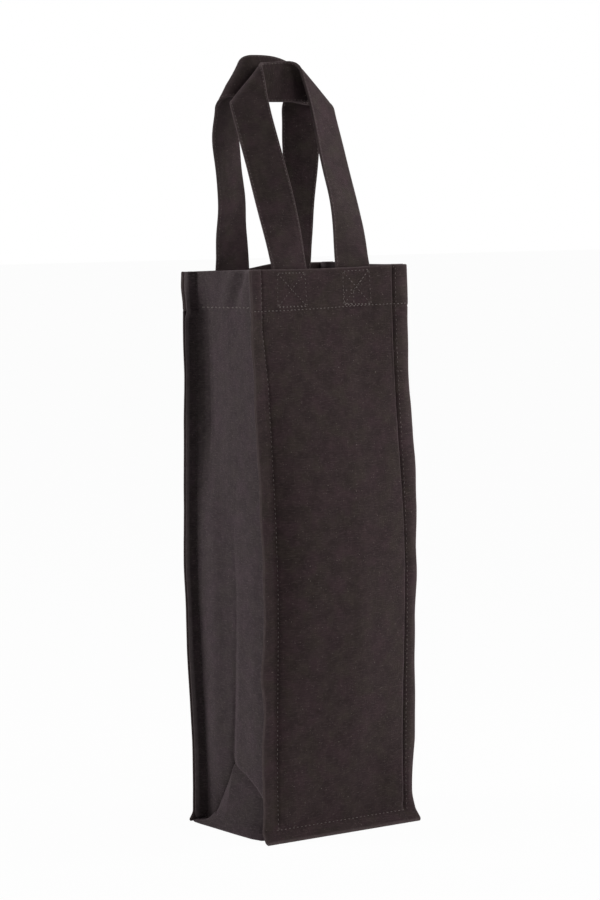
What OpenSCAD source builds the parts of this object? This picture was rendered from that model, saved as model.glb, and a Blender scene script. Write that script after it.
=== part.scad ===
// Upright canvas bottle carrier: flat front and back panels, one gusset strip set in behind
// their seam ridges, a turned-in hem and two folded strap handles sewn inside the rim.
// Millimetres. Origin on the floor under the bag's middle, +Z up, front panel faces -Y,
// left gusset faces -X. The strap handles are stored leaning over the mouth.

/* [Bag] */
// width of each panel over its two seam ridges
bag_width = 114; // [100:1:130]
// depth over the two panels just above the floor
base_depth = 82; // [74:1:90]
// depth over the panels where they stand furthest apart
belly_depth = 93; // [82:1:98]
// height of that place
belly_height = 165; // [130:5:200]
// depth over the panels at the rim
rim_depth = 79.5; // [74:0.5:90]
// height of the rim above the floor
bag_height = 350; // [310:1:390]
// thickness of one layer of canvas
cloth = 0.9; // [0.7:0.1:1.2]
// height of the hem turned to the inside
hem_height = 25; // [18:1:32]
// height over which the hem layer starts on a gusset
hem_step = 0.6; // [0.4:0.1:1]
// gap between a panel's hem and the gusset beside it
hem_side_gap = 0.3; // [0.2:0.1:1]

/* [Seam ridges] */
// width of the ridge outside each seam
ridge_width = 9; // [7:0.5:12]
// how far the gusset's seam allowance stops short of the panel edge
ridge_tuck = 1; // [0.5:0.5:2]
// gap between the base cloth's edge and its seam allowance
seam_gap = 0.3; // [0.2:0.1:0.6]
// height of the bottom seam line above the floor
bottom_seam_height = 7; // [6:0.5:9]
// outward splay of the bottom ridge
bottom_splay = 40; // [30:1:48]
// sideways flare of the panel's bottom corners
corner_flare = 1.5; // [0:0.5:3]
// height where the corner flare begins
flare_height = 22; // [16:1:30]

/* [Gusset] */
// radius of the gusset's turn from side to base
turn_radius = 7; // [5:0.5:10]
// width of the slope from a bottom seam down to the floor
base_slope_width = 14; // [10:1:20]
// how far the foot of each side gusset spreads outwards
foot_spread = 8; // [2:0.5:9]
// share of a gusset's width over which its foot spreads fully
foot_full_share = 0.55; // [0.3:0.05:0.75]
// depth of the inward fold down the middle of each side, at the rim
crease_depth = 6; // [1:0.5:8]
// share of that depth left below the fade
crease_low_share = 0.25; // [0.1:0.05:0.9]
// height below which the fold has faded
crease_fade_height = 235; // [180:5:280]
// height of the point where the side fold divides
crease_split_height = 52; // [40:1:80]

/* [Strap handles] */
// width of the strap
strap_width = 25; // [20:1:30]
// thickness of the folded strap
strap_thick = 1.8; // [1.4:0.1:2.4]
// distance between the centre lines of a handle's two legs
leg_spacing = 46.5; // [44:0.5:52]
// radius of the soft fold at each upper corner
fold_radius = 4.5; // [3.5:0.5:6]
// length over which a leg squares up to the rim
leg_square_up = 25; // [15:1:35]
// free gap between a handle and the rim it swings over
swing_gap = 0.4; // [0.3:0.05:0.8]

/* [Front handle] */
// height of its top band above the leg ends
front_rise = 119.5; // [108:0.1:130]
// angle between the top band and the fold across the strap
front_fold_angle = 47.2; // [45:0.1:49]
// angle through which the strap turns at that fold
front_fold_turn = 156.9; // [150:0.1:166]
// straight run of the strap between its fold and the leg's bend
front_fold_run = 56; // [40:0.1:58]
// radius of the slow bend low on each leg
front_bend_radius = 60; // [45:1:66]
// inward lean
front_lean = 5.2; // [4:0.1:7]
// lean to the left
front_side_lean = 0.2; // [0:0.1:4]
// sideways place of its middle
front_shift = -3.2; // [-4:0.1:4]
// sideways bow of its left leg
front_left_bow = -0.4; // [-3:0.1:3]
// sideways bow of its right leg
front_right_bow = -2.1; // [-3:0.1:3]

/* [Back handle] */
// height of its top band above the leg ends
back_rise = 114.1; // [108:0.1:124]
// angle between the top band and the fold across the strap
back_fold_angle = 48.9; // [46:0.1:50]
// angle through which the strap turns at that fold
back_fold_turn = 150; // [146:0.1:158]
// straight run of the strap between its fold and the leg's bend
back_fold_run = 41.5; // [34:0.1:46]
// radius of the slow bend low on each leg
back_bend_radius = 90; // [70:1:96]
// outward lean
back_lean = 10; // [7:0.1:12]
// lean to the left
back_side_lean = 4.3; // [0:0.1:6]
// sideways place of its middle
back_shift = 2.3; // [-4:0.1:4]
// sideways bow of its left leg
back_left_bow = 9; // [0:0.1:10]
// sideways bow of its right leg
back_right_bow = 0.6; // [-3:0.1:3]

/* [Mesh] */
// columns across the strap
strap_columns = 10; // [6:2:14]
// spacing of strap sections in the tight folds
fold_step = 1.7; // [1.4:0.1:3]
// spacing of strap sections elsewhere
plain_step = 6; // [5:1:12]

/* [Hidden] */
canvas = [0.19, 0.168, 0.158];
gusset_canvas = [0.21, 0.19, 0.195];
strap_canvas = [0.17, 0.15, 0.145];
half_width = bag_width / 2;
half_base = base_depth / 2;
half_rim = rim_depth / 2;
web_x = half_width - ridge_width;
rim_thick = 2 * cloth;
pivot_y = half_rim - rim_thick / 2;
strap_y = pivot_y - rim_thick / 2 - swing_gap - strap_thick / 2;
turn_top = turn_radius + cloth;
hem_base = bag_height - hem_height;
half_strap = strap_width / 2;
split_steps = 3;
belly_steps = 5;
web_columns = 5;
foot_columns = 4;
turn_steps = 6;

function unit(v) = v / norm(v);
function left_of(d) = [-d[1], d[0]];
function run_dir(p, i) = unit(p[i + 1] - p[i]);
function mitre(p, i) = let (
        a = left_of(run_dir(p, max(i - 1, 0))),
        b = left_of(run_dir(p, min(i, len(p) - 2)))
    ) (a + b) / (1 + a * b);
function beside(p, d) = [for (i = [0:len(p) - 1]) p[i] + d * mitre(p, i)];
function backwards(p) = [for (i = [len(p) - 1:-1:0]) p[i]];
function ribbon(p, d) = concat(p, backwards(beside(p, d)));
function smooth(a, b, v) = let (u = min(1, max(0, (v - a) / (b - a)))) u * u * (3 - 2 * u);

// closed solid between two grids of points, rows by columns
function flat(g) = [for (r = g) for (p = r) p];
module sheet(front, back) {
    rows = len(front);
    cols = len(front[0]);
    off = rows * cols;
    function at(i, j) = i * cols + j;
    function quad(a, b, c, d) = [[a, b, c], [a, c, d]];
    faces = concat(
        [for (i = [0:rows - 2]) for (j = [0:cols - 2])
            each quad(at(i, j), at(i, j + 1), at(i + 1, j + 1), at(i + 1, j))],
        [for (i = [0:rows - 2]) for (j = [0:cols - 2])
            each quad(off + at(i, j), off + at(i + 1, j), off + at(i + 1, j + 1), off + at(i, j + 1))],
        [for (i = [0:rows - 2])
            each quad(at(i, 0), at(i + 1, 0), off + at(i + 1, 0), off + at(i, 0))],
        [for (i = [0:rows - 2])
            each quad(at(i + 1, cols - 1), at(i, cols - 1), off + at(i, cols - 1), off + at(i + 1, cols - 1))],
        [for (j = [0:cols - 2])
            each quad(at(0, j + 1), at(0, j), off + at(0, j), off + at(0, j + 1))],
        [for (j = [0:cols - 2])
            each quad(at(rows - 1, j), at(rows - 1, j + 1), off + at(rows - 1, j + 1), off + at(rows - 1, j))]
    );
    polyhedron(points = concat(flat(front), flat(back)), faces = faces, convexity = 6);
}

// side profile [y, z] run along x
module along_x(points, half) {
    rotate([90, 0, 90]) linear_extrude(height = 2 * half, center = true) polygon(points);
}
// front profile [x, z] run along y
module along_y(points, half) {
    rotate([90, 0, 0]) linear_extrude(height = 2 * half, center = true) polygon(points);
}

// bottom ridge: a point at distance d inside the panel's outer face, at height z
function ridge_y(d, z) =
    -half_base + d / cos(bottom_splay) - (bottom_seam_height - z) * tan(bottom_splay);
tip_lift = cloth * sin(bottom_splay);

// half depth of the bag at height z: it bellies out between the base and the hem
function half_out(z) = let (belly = belly_depth / 2)
    z < belly_height
        ? half_base + (belly - half_base) * smooth(flare_height, belly_height, z)
        : belly + (half_rim - belly) * smooth(belly_height, hem_base, z);
function between(a, b, n) = [for (i = [1:n]) a + (b - a) * i / n];
side_rows = concat(
    [turn_top], between(turn_top, crease_split_height, split_steps),
    between(crease_split_height, belly_height, belly_steps),
    between(belly_height, hem_base, belly_steps), [hem_base + hem_step, bag_height]
);
// side view of a panel from the tip of its bottom ridge to the rim: outer face, inner face
panel_outside = concat(
    [[ridge_y(0, tip_lift), tip_lift], [-half_base, bottom_seam_height]],
    [for (z = side_rows) [-half_out(z), z]]
);
panel_inside = beside(panel_outside, -cloth);
seam_inside = panel_inside[1];
first_side_row = 2;

module panel() {
    outline = [
        [-half_width, bag_height], [-half_width, flare_height],
        [-half_width - corner_flare, 0], [half_width + corner_flare, 0],
        [half_width, flare_height], [half_width, bag_height]
    ];
    hem_half = web_x - rim_thick - hem_side_gap;
    intersection() {
        along_x(concat(panel_outside, backwards(panel_inside)), half_width + corner_flare);
        along_y(outline, belly_depth);
    }
    translate([-hem_half, -half_rim + cloth, hem_base])
        cube([2 * hem_half, cloth, hem_height]);
}

module front_panel() color(canvas) panel();
module back_panel() color(canvas) mirror([0, 1, 0]) panel();

// how far the gusset's middle fold goes in, less how far its foot spreads out, at height z;
// side_share is 0 on the fold and 1 at a seam
function spread_share(side_share) = smooth(0, 1 - foot_full_share, 1 - side_share);
function fold_in(side_share, z) = let (
        rise_share = min(1, max(0, (z - turn_top) / (crease_split_height - turn_top))),
        depth_share = crease_low_share
            + (1 - crease_low_share) * smooth(crease_fade_height, hem_base, z)
    )
    crease_depth * depth_share * min(rise_share, 1 - side_share)
    - foot_spread * spread_share(side_share) * pow(1 - rise_share, 3 / 2);

// plan path of the gusset strip's inner face in one row: seam allowance, web, seam allowance
function gusset_path(row) = let (y = -row[0], tip = half_width - ridge_tuck, n = web_columns)
    concat(
        [[-tip, -y]],
        [for (i = [-n:n]) [-web_x + cloth + fold_in(abs(i) / n, row[1]), y * i / n]],
        [[-tip, y]]
    );
module gusset() {
    rows = [for (i = [first_side_row:len(panel_inside) - 1]) panel_inside[i]];
    front = [for (r = rows) [for (p = beside(gusset_path(r), cloth)) [p[0], p[1], r[1]]]];
    back = [for (r = rows) let (
            one = gusset_path(r),
            two = beside(one, -cloth),
            last = len(one) - 1,
            hemmed = r[1] > hem_base + hem_step / 2
        )
        [for (j = [0:last]) let (p = hemmed && j > 1 && j < last - 1 ? two[j] : one[j]) [p[0], p[1], r[1]]]
    ];
    sheet(front, back);
}

module left_gusset() color(gusset_canvas) gusset();
module right_gusset() color(gusset_canvas) mirror([1, 0, 0]) gusset();

// height of the base cloth's underside at distance y from the bag's middle plane
function under_base(y) = (bottom_seam_height - cloth)
    * max(0, (abs(y) - half_base + base_slope_width) / (base_slope_width - rim_thick - seam_gap));

// the base: it rests on the floor, slopes up to both bottom seams and turns up at both ends
module base_web() {
    edge = half_base - rim_thick - seam_gap;
    foot = half_base - base_slope_width;
    columns = concat([-edge], [for (i = [-foot_columns:foot_columns]) foot * i / foot_columns], [edge]);
    rows = [for (y = columns) let (
            end = web_x - turn_radius + foot_spread * spread_share(abs(y) / edge),
            low = under_base(y),
            turned = [for (i = [1:turn_steps]) let (a = 90 * i / turn_steps)
                [end + turn_radius * sin(a), max(low, turn_radius - turn_radius * cos(a))]],
            half = concat([[end, low]], turned, [[end + turn_radius, side_rows[0]]])
        ) concat([for (p = backwards(half)) [-p[0], p[1]]], half)];
    function placed(path, y) = [for (p = path) [p[0], y, p[1]]];
    under = [for (j = [0:len(columns) - 1]) placed(rows[j], columns[j])];
    upper = [for (j = [0:len(columns) - 1]) placed(beside(rows[j], cloth), columns[j])];
    sheet(under, upper);
}

module base_gusset() {
    color(gusset_canvas) {
        base_web();
        for (side = [0, 1]) mirror([0, side, 0])
            along_x(ribbon([[ridge_y(cloth, tip_lift), tip_lift], seam_inside], -cloth),
                half_width - ridge_tuck);
    }
}

// Strap handle. A flat strip is folded softly across both upper corners, so that its top band
// lies behind its two legs. s runs along the strip from its middle, w across it. A loop holds
// one handle's own sizes, with what follows from them.
deg = 180 / PI;
half_spacing = leg_spacing / 2;
function loop(rise, angle, turn, run, bend_radius, lean, side_lean, shift, bows, far) = let (
        reach = rise * tan(angle) + half_spacing,
        across = (half_spacing - reach * cos(2 * angle)) / sin(angle),
        fold = fold_radius * turn / deg,
        bend = bend_radius * (180 - turn) / deg,
        start = (across - fold - fold_radius * sin(turn) - run * (1 + cos(turn))
            - bend + bend_radius * sin(turn)) / 2
    )
    [rise, angle, turn, run, bend_radius, lean, side_lean, shift, bows, far,
        reach, start, start + fold, start + fold + run, start + fold + run + bend];
front_loop = loop(front_rise, front_fold_angle, front_fold_turn, front_fold_run, front_bend_radius,
    front_lean, front_side_lean, front_shift, [front_left_bow, front_right_bow], 1);
back_loop = loop(back_rise, back_fold_angle, back_fold_turn, back_fold_run, back_bend_radius,
    -back_lean, back_side_lean, back_shift, [back_left_bow, back_right_bow], -1);
function rise_of(h) = h[0];
function angle_of(h) = h[1];
function turn_of(h) = h[2];
function run_of(h) = h[3];
function bend_radius_of(h) = h[4];
function lean_of(h) = h[5];
function side_lean_of(h) = h[6];
function shift_of(h) = h[7];
function bows_of(h) = h[8];
function far_of(h) = h[9];
function reach_of(h) = h[10];
function fold_start_of(h) = h[11];
function fold_end_of(h) = h[12];
function bend_start_of(h) = h[13];
function bend_end_of(h) = h[14];

// turning angle at distance p across the folds
function turn_at(h, p) =
    p <= fold_start_of(h) ? 0 :
    p <= fold_end_of(h) ? (p - fold_start_of(h)) / fold_radius * deg :
    p <= bend_start_of(h) ? turn_of(h) :
    p <= bend_end_of(h) ? turn_of(h) + (p - bend_start_of(h)) / bend_radius_of(h) * deg : 180;
// place [along, behind] at distance p across the folds
function fold_place(h, p) = let (
        t = turn_at(h, p),
        turn = turn_of(h),
        first = min(t, turn),
        late = max(t, turn),
        near = min(p, fold_start_of(h)),
        run = min(max(p - fold_end_of(h), 0), run_of(h))
    )
    [near + fold_radius * sin(first), fold_radius * (1 - cos(first))]
    + run * [cos(turn), sin(turn)]
    + bend_radius_of(h) * [sin(late) - sin(turn), cos(turn) - cos(late)]
    - [max(p - bend_end_of(h), 0), 0];

// half a strip, s >= 0: its middle surface moved by d along its own normal
function half_strip(h, s, w, d) = let (
        angle = angle_of(h),
        a = s * cos(angle) - w * sin(angle),
        p = s * sin(angle) + w * cos(angle),
        q = fold_place(h, p),
        t = turn_at(h, p),
        level = pow(max(0, 1 - (reach_of(h) - s) / leg_square_up), 2)
    )
    a * [cos(angle), 0, -sin(angle)] + (q[0] + d * sin(t)) * [sin(angle), 0, cos(angle)]
    + [0, d * cos(t) - q[1], w * cos(2 * angle) * level];

// a point of the whole handle, placed on the rim
function strap_point(h, s, w, d) = let (
        foot = half_strip(h, reach_of(h), 0, 0),
        p = half_strip(h, abs(s), w, d) - foot,
        x = (p[0] + foot[0]) * (s < 0 ? -1 : 1),
        y = p[1] * cos(lean_of(h)) + p[2] * sin(lean_of(h)),
        z = p[2] * cos(lean_of(h)) - p[1] * sin(lean_of(h)),
        bows = bows_of(h),
        bow = bows[0] + (bows[1] - bows[0]) * smooth(-half_strap, half_strap, s)
    )
    [x + shift_of(h) - z * tan(side_lean_of(h)) + bow * sin(180 * min(1, max(0, z / rise_of(h)))),
        far_of(h) * (y - strap_y), z + bag_height + swing_gap];

// a step count stays the same when every length is scaled
function steps(a, b, step) = let (n = ceil((b - a) / step - 1 / 100)) [for (i = [1:n]) a + (b - a) * i / n];
function stations(h) = let (
        cover = half_strap * cos(angle_of(h)),
        fold_near = max(plain_step / 2, (fold_start_of(h) - cover) / sin(angle_of(h))),
        fold_far = (fold_end_of(h) + cover) / sin(angle_of(h)),
        bend_near = max(fold_far + plain_step, (bend_start_of(h) - cover) / sin(angle_of(h))),
        half = concat([fold_near], steps(fold_near, fold_far, fold_step),
            steps(fold_far, bend_near, 2 * plain_step), steps(bend_near, reach_of(h), plain_step))
    )
    concat([for (i = [len(half) - 1:-1:0]) -half[i]], [0], half);

module handle(h) {
    columns = [for (j = [0:strap_columns]) strap_width * (j / strap_columns - 1 / 2)];
    function side(d) = [for (s = stations(h)) [for (w = columns) strap_point(h, s, w, d)]];
    front = side(-strap_thick / 2);
    back = side(strap_thick / 2);
    color(strap_canvas) if (far_of(h) > 0) sheet(front, back); else sheet(back, front);
}

module front_handle() handle(front_loop);
module back_handle() handle(back_loop);

// the sewn ends of a strap, lying against the inside of the hem
module handle_ends(shift) {
    color(strap_canvas) for (leg = [-1, 1])
        translate([shift + leg * half_spacing - half_strap, -half_rim + rim_thick, hem_base])
            cube([strap_width, strap_thick, hem_height]);
}

module front_handle_ends() handle_ends(front_shift);
module back_handle_ends() mirror([0, 1, 0]) handle_ends(back_shift);

front_panel();
back_panel();
left_gusset();
right_gusset();
base_gusset();
front_handle_ends();
back_handle_ends();
front_handle();
back_handle();
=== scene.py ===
"""Looks of the upright canvas bottle carrier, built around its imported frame.

Sizes are millimetres until a mesh is made, and repeat the named sizes of the part's source.
X runs across the front panel, Y from front to back, Z up from the floor.
"""

import logging
import math
from dataclasses import dataclass, field
from enum import Enum

import bpy
import numpy as np
from mathutils import Matrix, Vector


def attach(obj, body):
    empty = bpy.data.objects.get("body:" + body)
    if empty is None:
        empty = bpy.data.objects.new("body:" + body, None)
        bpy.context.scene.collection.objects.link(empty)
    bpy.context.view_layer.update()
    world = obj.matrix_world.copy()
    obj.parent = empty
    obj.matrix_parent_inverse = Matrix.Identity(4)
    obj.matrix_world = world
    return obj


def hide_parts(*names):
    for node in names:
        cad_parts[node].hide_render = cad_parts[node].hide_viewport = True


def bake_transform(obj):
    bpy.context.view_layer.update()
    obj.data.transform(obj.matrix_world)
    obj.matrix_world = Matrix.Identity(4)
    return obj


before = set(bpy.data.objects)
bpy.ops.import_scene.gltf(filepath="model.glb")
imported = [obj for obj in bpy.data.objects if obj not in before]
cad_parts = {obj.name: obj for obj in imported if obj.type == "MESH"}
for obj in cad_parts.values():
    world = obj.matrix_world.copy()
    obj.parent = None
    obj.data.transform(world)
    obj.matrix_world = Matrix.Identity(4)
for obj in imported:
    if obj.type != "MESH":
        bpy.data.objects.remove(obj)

LOG = logging.getLogger("bottle_carrier")
Array = np.ndarray
Pair = tuple[float, float]
Triple = tuple[float, float, float]
Socket = bpy.types.NodeSocket
MM = 0.001
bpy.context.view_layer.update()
CLOTH_COORDS = "cloth"
WEAR = "wear"
SIDES_APART = 3
CUT_EDGE_WEAR = 0.6


def smooth(low: float, high: float, value: Array) -> Array:
    """Ease from 0 at low to 1 at high.

    Args:
        low: value at which the result leaves 0; it may lie above high.
        high: value at which the result reaches 1.
        value: where to measure.

    Returns:
        Shares from 0 to 1.
    """
    share = np.clip((np.asarray(value, float) - low) / (high - low), 0, 1)
    return share * share * (3 - 2 * share)


def hill(value: Array, centre: float, width: float) -> Array:
    """Return a soft hill of height 1 round centre, width being its half width at 0.37."""
    return np.exp(-(((np.asarray(value, float) - centre) / width) ** 2))


def lerp(a: Array, b: Array, share: Array) -> Array:
    """Return the point at share of the way from a to b."""
    return a + (b - a) * share


def distances(path: Array) -> Array:
    """Return how far along a path each of its points lies."""
    return np.concatenate([[0], np.cumsum(np.linalg.norm(np.diff(path, axis=0), axis=1))])


def unit(vectors: Array) -> Array:
    """Return vectors brought to length 1."""
    return vectors / np.maximum(np.linalg.norm(vectors, axis=-1, keepdims=True), 1e-9)


class Ripple:
    """Seeded soft unevenness of cloth: a sum of long waves in random directions."""

    def __init__(self, seed: int, wavelength: float, count: int = 9) -> None:
        """Draw the waves.

        Args:
            seed: seed of the random draw.
            wavelength: middle length of the waves.
            count: how many waves are summed.
        """
        draw = np.random.default_rng(seed)
        turn = draw.uniform(0, 2 * math.pi, count)
        rate = 2 * math.pi / (wavelength * draw.uniform(0.6, 1.9, count))
        self.across = rate * np.cos(turn)
        self.along = rate * np.sin(turn)
        self.phase = draw.uniform(0, 2 * math.pi, count)
        self.scale = 1 / math.sqrt(count)

    def __call__(self, u: Array, v: Array) -> Array:
        """Return the height of the ripple, about -1.5 to 1.5, at u across and v along.

        Args:
            u: places across.
            v: places along.

        Returns:
            Heights, about -1.5 to 1.5.
        """
        u, v = np.broadcast_arrays(np.asarray(u, float), np.asarray(v, float))
        waves = u[..., None] * self.across + v[..., None] * self.along + self.phase
        return np.sin(waves).sum(-1) * self.scale


class Face(Enum):
    """Which of the two panels, by the sign of its Y."""

    FRONT = -1.0
    BACK = 1.0


class Edge(Enum):
    """Profile of a cloth edge as (outward, along the normal) shares of half the thickness."""

    ROUND = ((0.71, 0.71), (1.0, 0.0), (0.71, -0.71))
    FOLDED = ((0.5, 0.86), (0.72, 0.5), (0.4, 0.06), (0.4, -0.06), (0.72, -0.5), (0.5, -0.86))


@dataclass(frozen=True)
class BagSizes:
    """Sizes of the bag, equal to those of the part's source but for the last two.

    foot_spread and crease_split_height follow the photographed foot more closely.
    """

    width: float = 114.0
    base_depth: float = 82.0
    belly_depth: float = 93.0
    belly_height: float = 165.0
    rim_depth: float = 79.5
    height: float = 350.0
    cloth: float = 0.9
    hem_height: float = 25.0
    ridge_width: float = 9.0
    ridge_tuck: float = 1.0
    seam_height: float = 7.0
    splay: float = math.radians(40.0)
    corner_flare: float = 1.5
    flare_height: float = 22.0
    base_slope_width: float = 14.0
    foot_spread: float = 9.6
    crease_split_height: float = 41.5

    @property
    def seam_x(self) -> float:
        """Place of the side seams."""
        return self.width / 2 - self.ridge_width

    @property
    def hem_base(self) -> float:
        """Height of the hem's lower edge."""
        return self.height - self.hem_height


@dataclass
class ClothLayer:
    """One layer of cloth as rows and columns of points on its middle surface."""

    points: Array
    across: Array
    along: Array
    thick: Array
    wear: Array
    edge: Edge = Edge.ROUND

    @classmethod
    def woven(cls, points: Array, thick: float | Array, wear: Array) -> "ClothLayer":
        """Make a layer whose cloth coordinates are measured along one of its rows and columns.

        Args:
            points: rows by columns of points.
            thick: thickness, one value or one for each point.
            wear: how worn each point is, from 0 to 1.

        Returns:
            The layer.
        """
        rows, columns = points.shape[:2]
        across, along = distances(points[rows // 3]), distances(points[:, columns // 2])
        full = np.broadcast_to(np.asarray(thick, float), (rows, columns))
        return cls(points, across - across[-1] / 2, along, full, wear)

    def normals(self) -> Array:
        """Return the unit normals, pointing to the cloth's right side."""
        rise, run = (np.gradient(self.points, axis=axis) for axis in (0, 1))
        return unit(np.cross(run, rise))

    def face(self, side: float) -> Array:
        """Return the points of the right side (1) or the wrong side (-1)."""
        return self.points + self.normals() * self.thick[..., None] * side / 2

    def run(self, u: Array, v: Array, side: float) -> tuple[Array, Array]:
        """Follow a line on the cloth.

        Args:
            u: places across the cloth.
            v: places along the cloth.
            side: 1 for the right side, -1 for the wrong side.

        Returns:
            Points on that face, and its outward normals there.
        """
        column = np.interp(u, self.across, np.arange(len(self.across)))
        row = np.interp(v, self.along, np.arange(len(self.along)))
        r0 = np.clip(row.astype(int), 0, len(self.along) - 2)
        c0 = np.clip(column.astype(int), 0, len(self.across) - 2)
        fr, fc = (row - r0)[:, None], (column - c0)[:, None]

        def sample(grid: Array) -> Array:
            """Return grid's values at the places asked for."""
            low = lerp(grid[r0, c0], grid[r0, c0 + 1], fc)
            return lerp(low, lerp(grid[r0 + 1, c0], grid[r0 + 1, c0 + 1], fc), fr)

        return sample(self.face(side)), sample(self.normals()) * side

    def build(self, name: str) -> bpy.types.Object:
        """Make the closed mesh of this layer, with its edges rounded or folded.

        Args:
            name: the piece's name.

        Returns:
            The new object, in metres.
        """
        rows, columns = self.points.shape[:2]
        index = np.arange(rows * columns).reshape(rows, columns)
        ring = np.concatenate([index[0, :-1], index[:-1, -1], index[-1, :0:-1], index[:0:-1, 0]])
        mid, normal = self.points.reshape(-1, 3), self.normals().reshape(-1, 3)
        run = np.roll(mid[ring], -1, 0) - np.roll(mid[ring], 1, 0)
        out = unit(np.cross(run, normal[ring]))
        half = self.thick.reshape(-1)[ring, None] / 2
        rings = [mid[ring] + half * (a * out + b * normal[ring]) for a, b in self.edge.value]
        front, back = self.face(1).reshape(-1, 3), self.face(-1).reshape(-1, 3)
        points = np.concatenate([front, back, *rings])
        total, loop = rows * columns, len(ring)
        quads = [index[:-1, :-1], index[:-1, 1:], index[1:, 1:], index[1:, :-1]]
        quads = np.stack(quads, -1).reshape(-1, 4)
        middle_loops = [2 * total + loop * k + np.arange(loop) for k in range(len(rings))]
        loops = [ring, *middle_loops, ring + total]
        faces = [quads, quads[:, ::-1] + total]
        for a, b in zip(loops[:-1], loops[1:]):
            faces.append(np.stack([a, b, np.roll(b, -1), np.roll(a, -1)], -1))
        flat_u = np.broadcast_to(self.across, (rows, columns)).reshape(-1)
        flat_v = np.broadcast_to(self.along[:, None], (rows, columns)).reshape(-1)
        plan = np.stack([flat_u, flat_v, np.zeros(total)], -1)
        plans = [plan, plan + (0, 0, SIDES_APART)]
        for k in range(len(rings)):
            plans.append(plan[ring] + (0, 0, SIDES_APART * (k + 1) / (len(rings) + 1)))
        worn = self.wear.reshape(-1)
        wears = [worn, worn, *(np.maximum(worn[ring], CUT_EDGE_WEAR) for _ in rings)]
        return new_piece(
            name, points, np.concatenate(faces), np.concatenate(plans), np.concatenate(wears)
        )


def link_object(name: str, data: bpy.types.ID) -> bpy.types.Object:
    """Make an object and link it to the scene.

    Args:
        name: the object's name.
        data: its mesh, light or camera.

    Returns:
        The object.
    """
    made = bpy.data.objects.new(name, data)
    bpy.context.scene.collection.objects.link(made)
    return made


def new_piece(
    name: str, points: Array, faces: Array, plan: Array, wear: Array
) -> bpy.types.Object:
    """Make a smooth-shaded object with its cloth coordinates and wear.

    Args:
        name: the piece's name.
        points: vertices, in millimetres.
        faces: quads or triangles.
        plan: cloth coordinates of each vertex, in millimetres.
        wear: wear of each vertex.

    Returns:
        The linked object, in metres.
    """
    mesh = bpy.data.meshes.new(name)
    mesh.from_pydata((points * MM).tolist(), [], faces.tolist())
    cloth = mesh.attributes.new(CLOTH_COORDS, "FLOAT_VECTOR", "POINT")
    cloth.data.foreach_set("vector", (plan * MM).astype(np.float32).ravel())
    worn = mesh.attributes.new(WEAR, "FLOAT", "POINT")
    worn.data.foreach_set("value", wear.astype(np.float32).ravel())
    mesh.shade_smooth()
    mesh.validate()
    return link_object(name, mesh)


@dataclass(frozen=True)
class Thread:
    """A row of lockstitches; a stitch's rings give place along it, size and drop."""

    pitch: float = 2.9
    length_share: float = 0.55
    thickness: float = 0.46
    seed: int = 1
    sides: int = 6
    rings: tuple[Triple, ...] = (
        (-0.5, 0.35, -0.75), (-0.36, 0.85, -0.2), (0.0, 1.0, 0.0),
        (0.36, 0.85, -0.2), (0.5, 0.35, -0.75),
    )
    skew: float = 0.13
    lengths: Pair = (0.66, 1.12)
    widths: Pair = (0.78, 1.1)
    lift: float = 0.02
    tint_range: float = 40

    def solid(self) -> tuple[Array, Array]:
        """Return the points and faces of one stitch, one unit long and one unit thick."""
        n, last = self.sides, (len(self.rings) - 1) * self.sides
        points = [
            (x, 0.5 * r * math.cos(turn), 0.5 * (drop + r * math.sin(turn)))
            for x, r, drop in self.rings for turn in np.arange(n) * 2 * math.pi / n
        ]
        faces = [
            (k + j, k + (j + 1) % n, k + n + (j + 1) % n, k + n + j)
            for k in range(0, last, n) for j in range(n)
        ]
        faces += [(0, 3, 2, 1), (0, 5, 4, 3)]
        faces += [(last, last + 1, last + 2, last + 3), (last, last + 3, last + 4, last + 5)]
        return np.array(points), np.array(faces)


@dataclass
class StitchRow:
    """Stitches gathered for one piece of thread."""

    thread: Thread
    points: list = field(default_factory=list)
    faces: list = field(default_factory=list)
    plans: list = field(default_factory=list)
    count: int = 0

    def sew(self, path: Array, normals: Array) -> None:
        """Lay stitches of even pitch along a path.

        Args:
            path: points on the cloth's face.
            normals: the face's normals at those points.
        """
        thread, reach = self.thread, distances(path)
        number = max(1, int(reach[-1] // thread.pitch))
        pitch = reach[-1] / number
        draw = np.random.default_rng(thread.seed + self.count)
        solid, faces = thread.solid()

        def at(place: Array, grid: Array) -> Array:
            """Return grid's values at distances along the path."""
            return np.stack([np.interp(place, reach, grid[:, k]) for k in range(3)], -1)

        start = pitch * (np.arange(number) + (1 - thread.length_share) / 2)
        head, tail = at(start, path), at(start + pitch * thread.length_share, path)
        middle, up = (head + tail) / 2, at(start + pitch / 2, normals)
        size = np.linalg.norm(tail - head, axis=1, keepdims=True)
        along = unit(tail - head)
        along = unit(along + np.cross(up, along) * draw.normal(0, thread.skew, (number, 1)))
        side = unit(np.cross(up, along))
        up = np.cross(along, side)
        size = size * draw.uniform(*thread.lengths, (number, 1))
        thick = thread.thickness * draw.uniform(*thread.widths, (number, 1))
        for k in range(number):
            body = middle[k] + solid[:, :1] * size[k] * along[k]
            body = body + solid[:, 1:2] * thick[k] * side[k]
            self.points.append(body + (solid[:, 2:] * thick[k] + thread.lift) * up[k])
            self.faces.append(faces + len(solid) * self.count)
            tint = np.full(len(solid), draw.uniform(0, thread.tint_range))
            self.plans.append(np.stack([solid[:, 0] * size[k, 0], solid[:, 1], tint], -1))
            self.count += 1

    def build(self, name: str) -> bpy.types.Object:
        """Make one object of all the stitches."""
        points, faces = np.concatenate(self.points), np.concatenate(self.faces)
        return new_piece(name, points, faces, np.concatenate(self.plans), np.zeros(len(points)))


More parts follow.
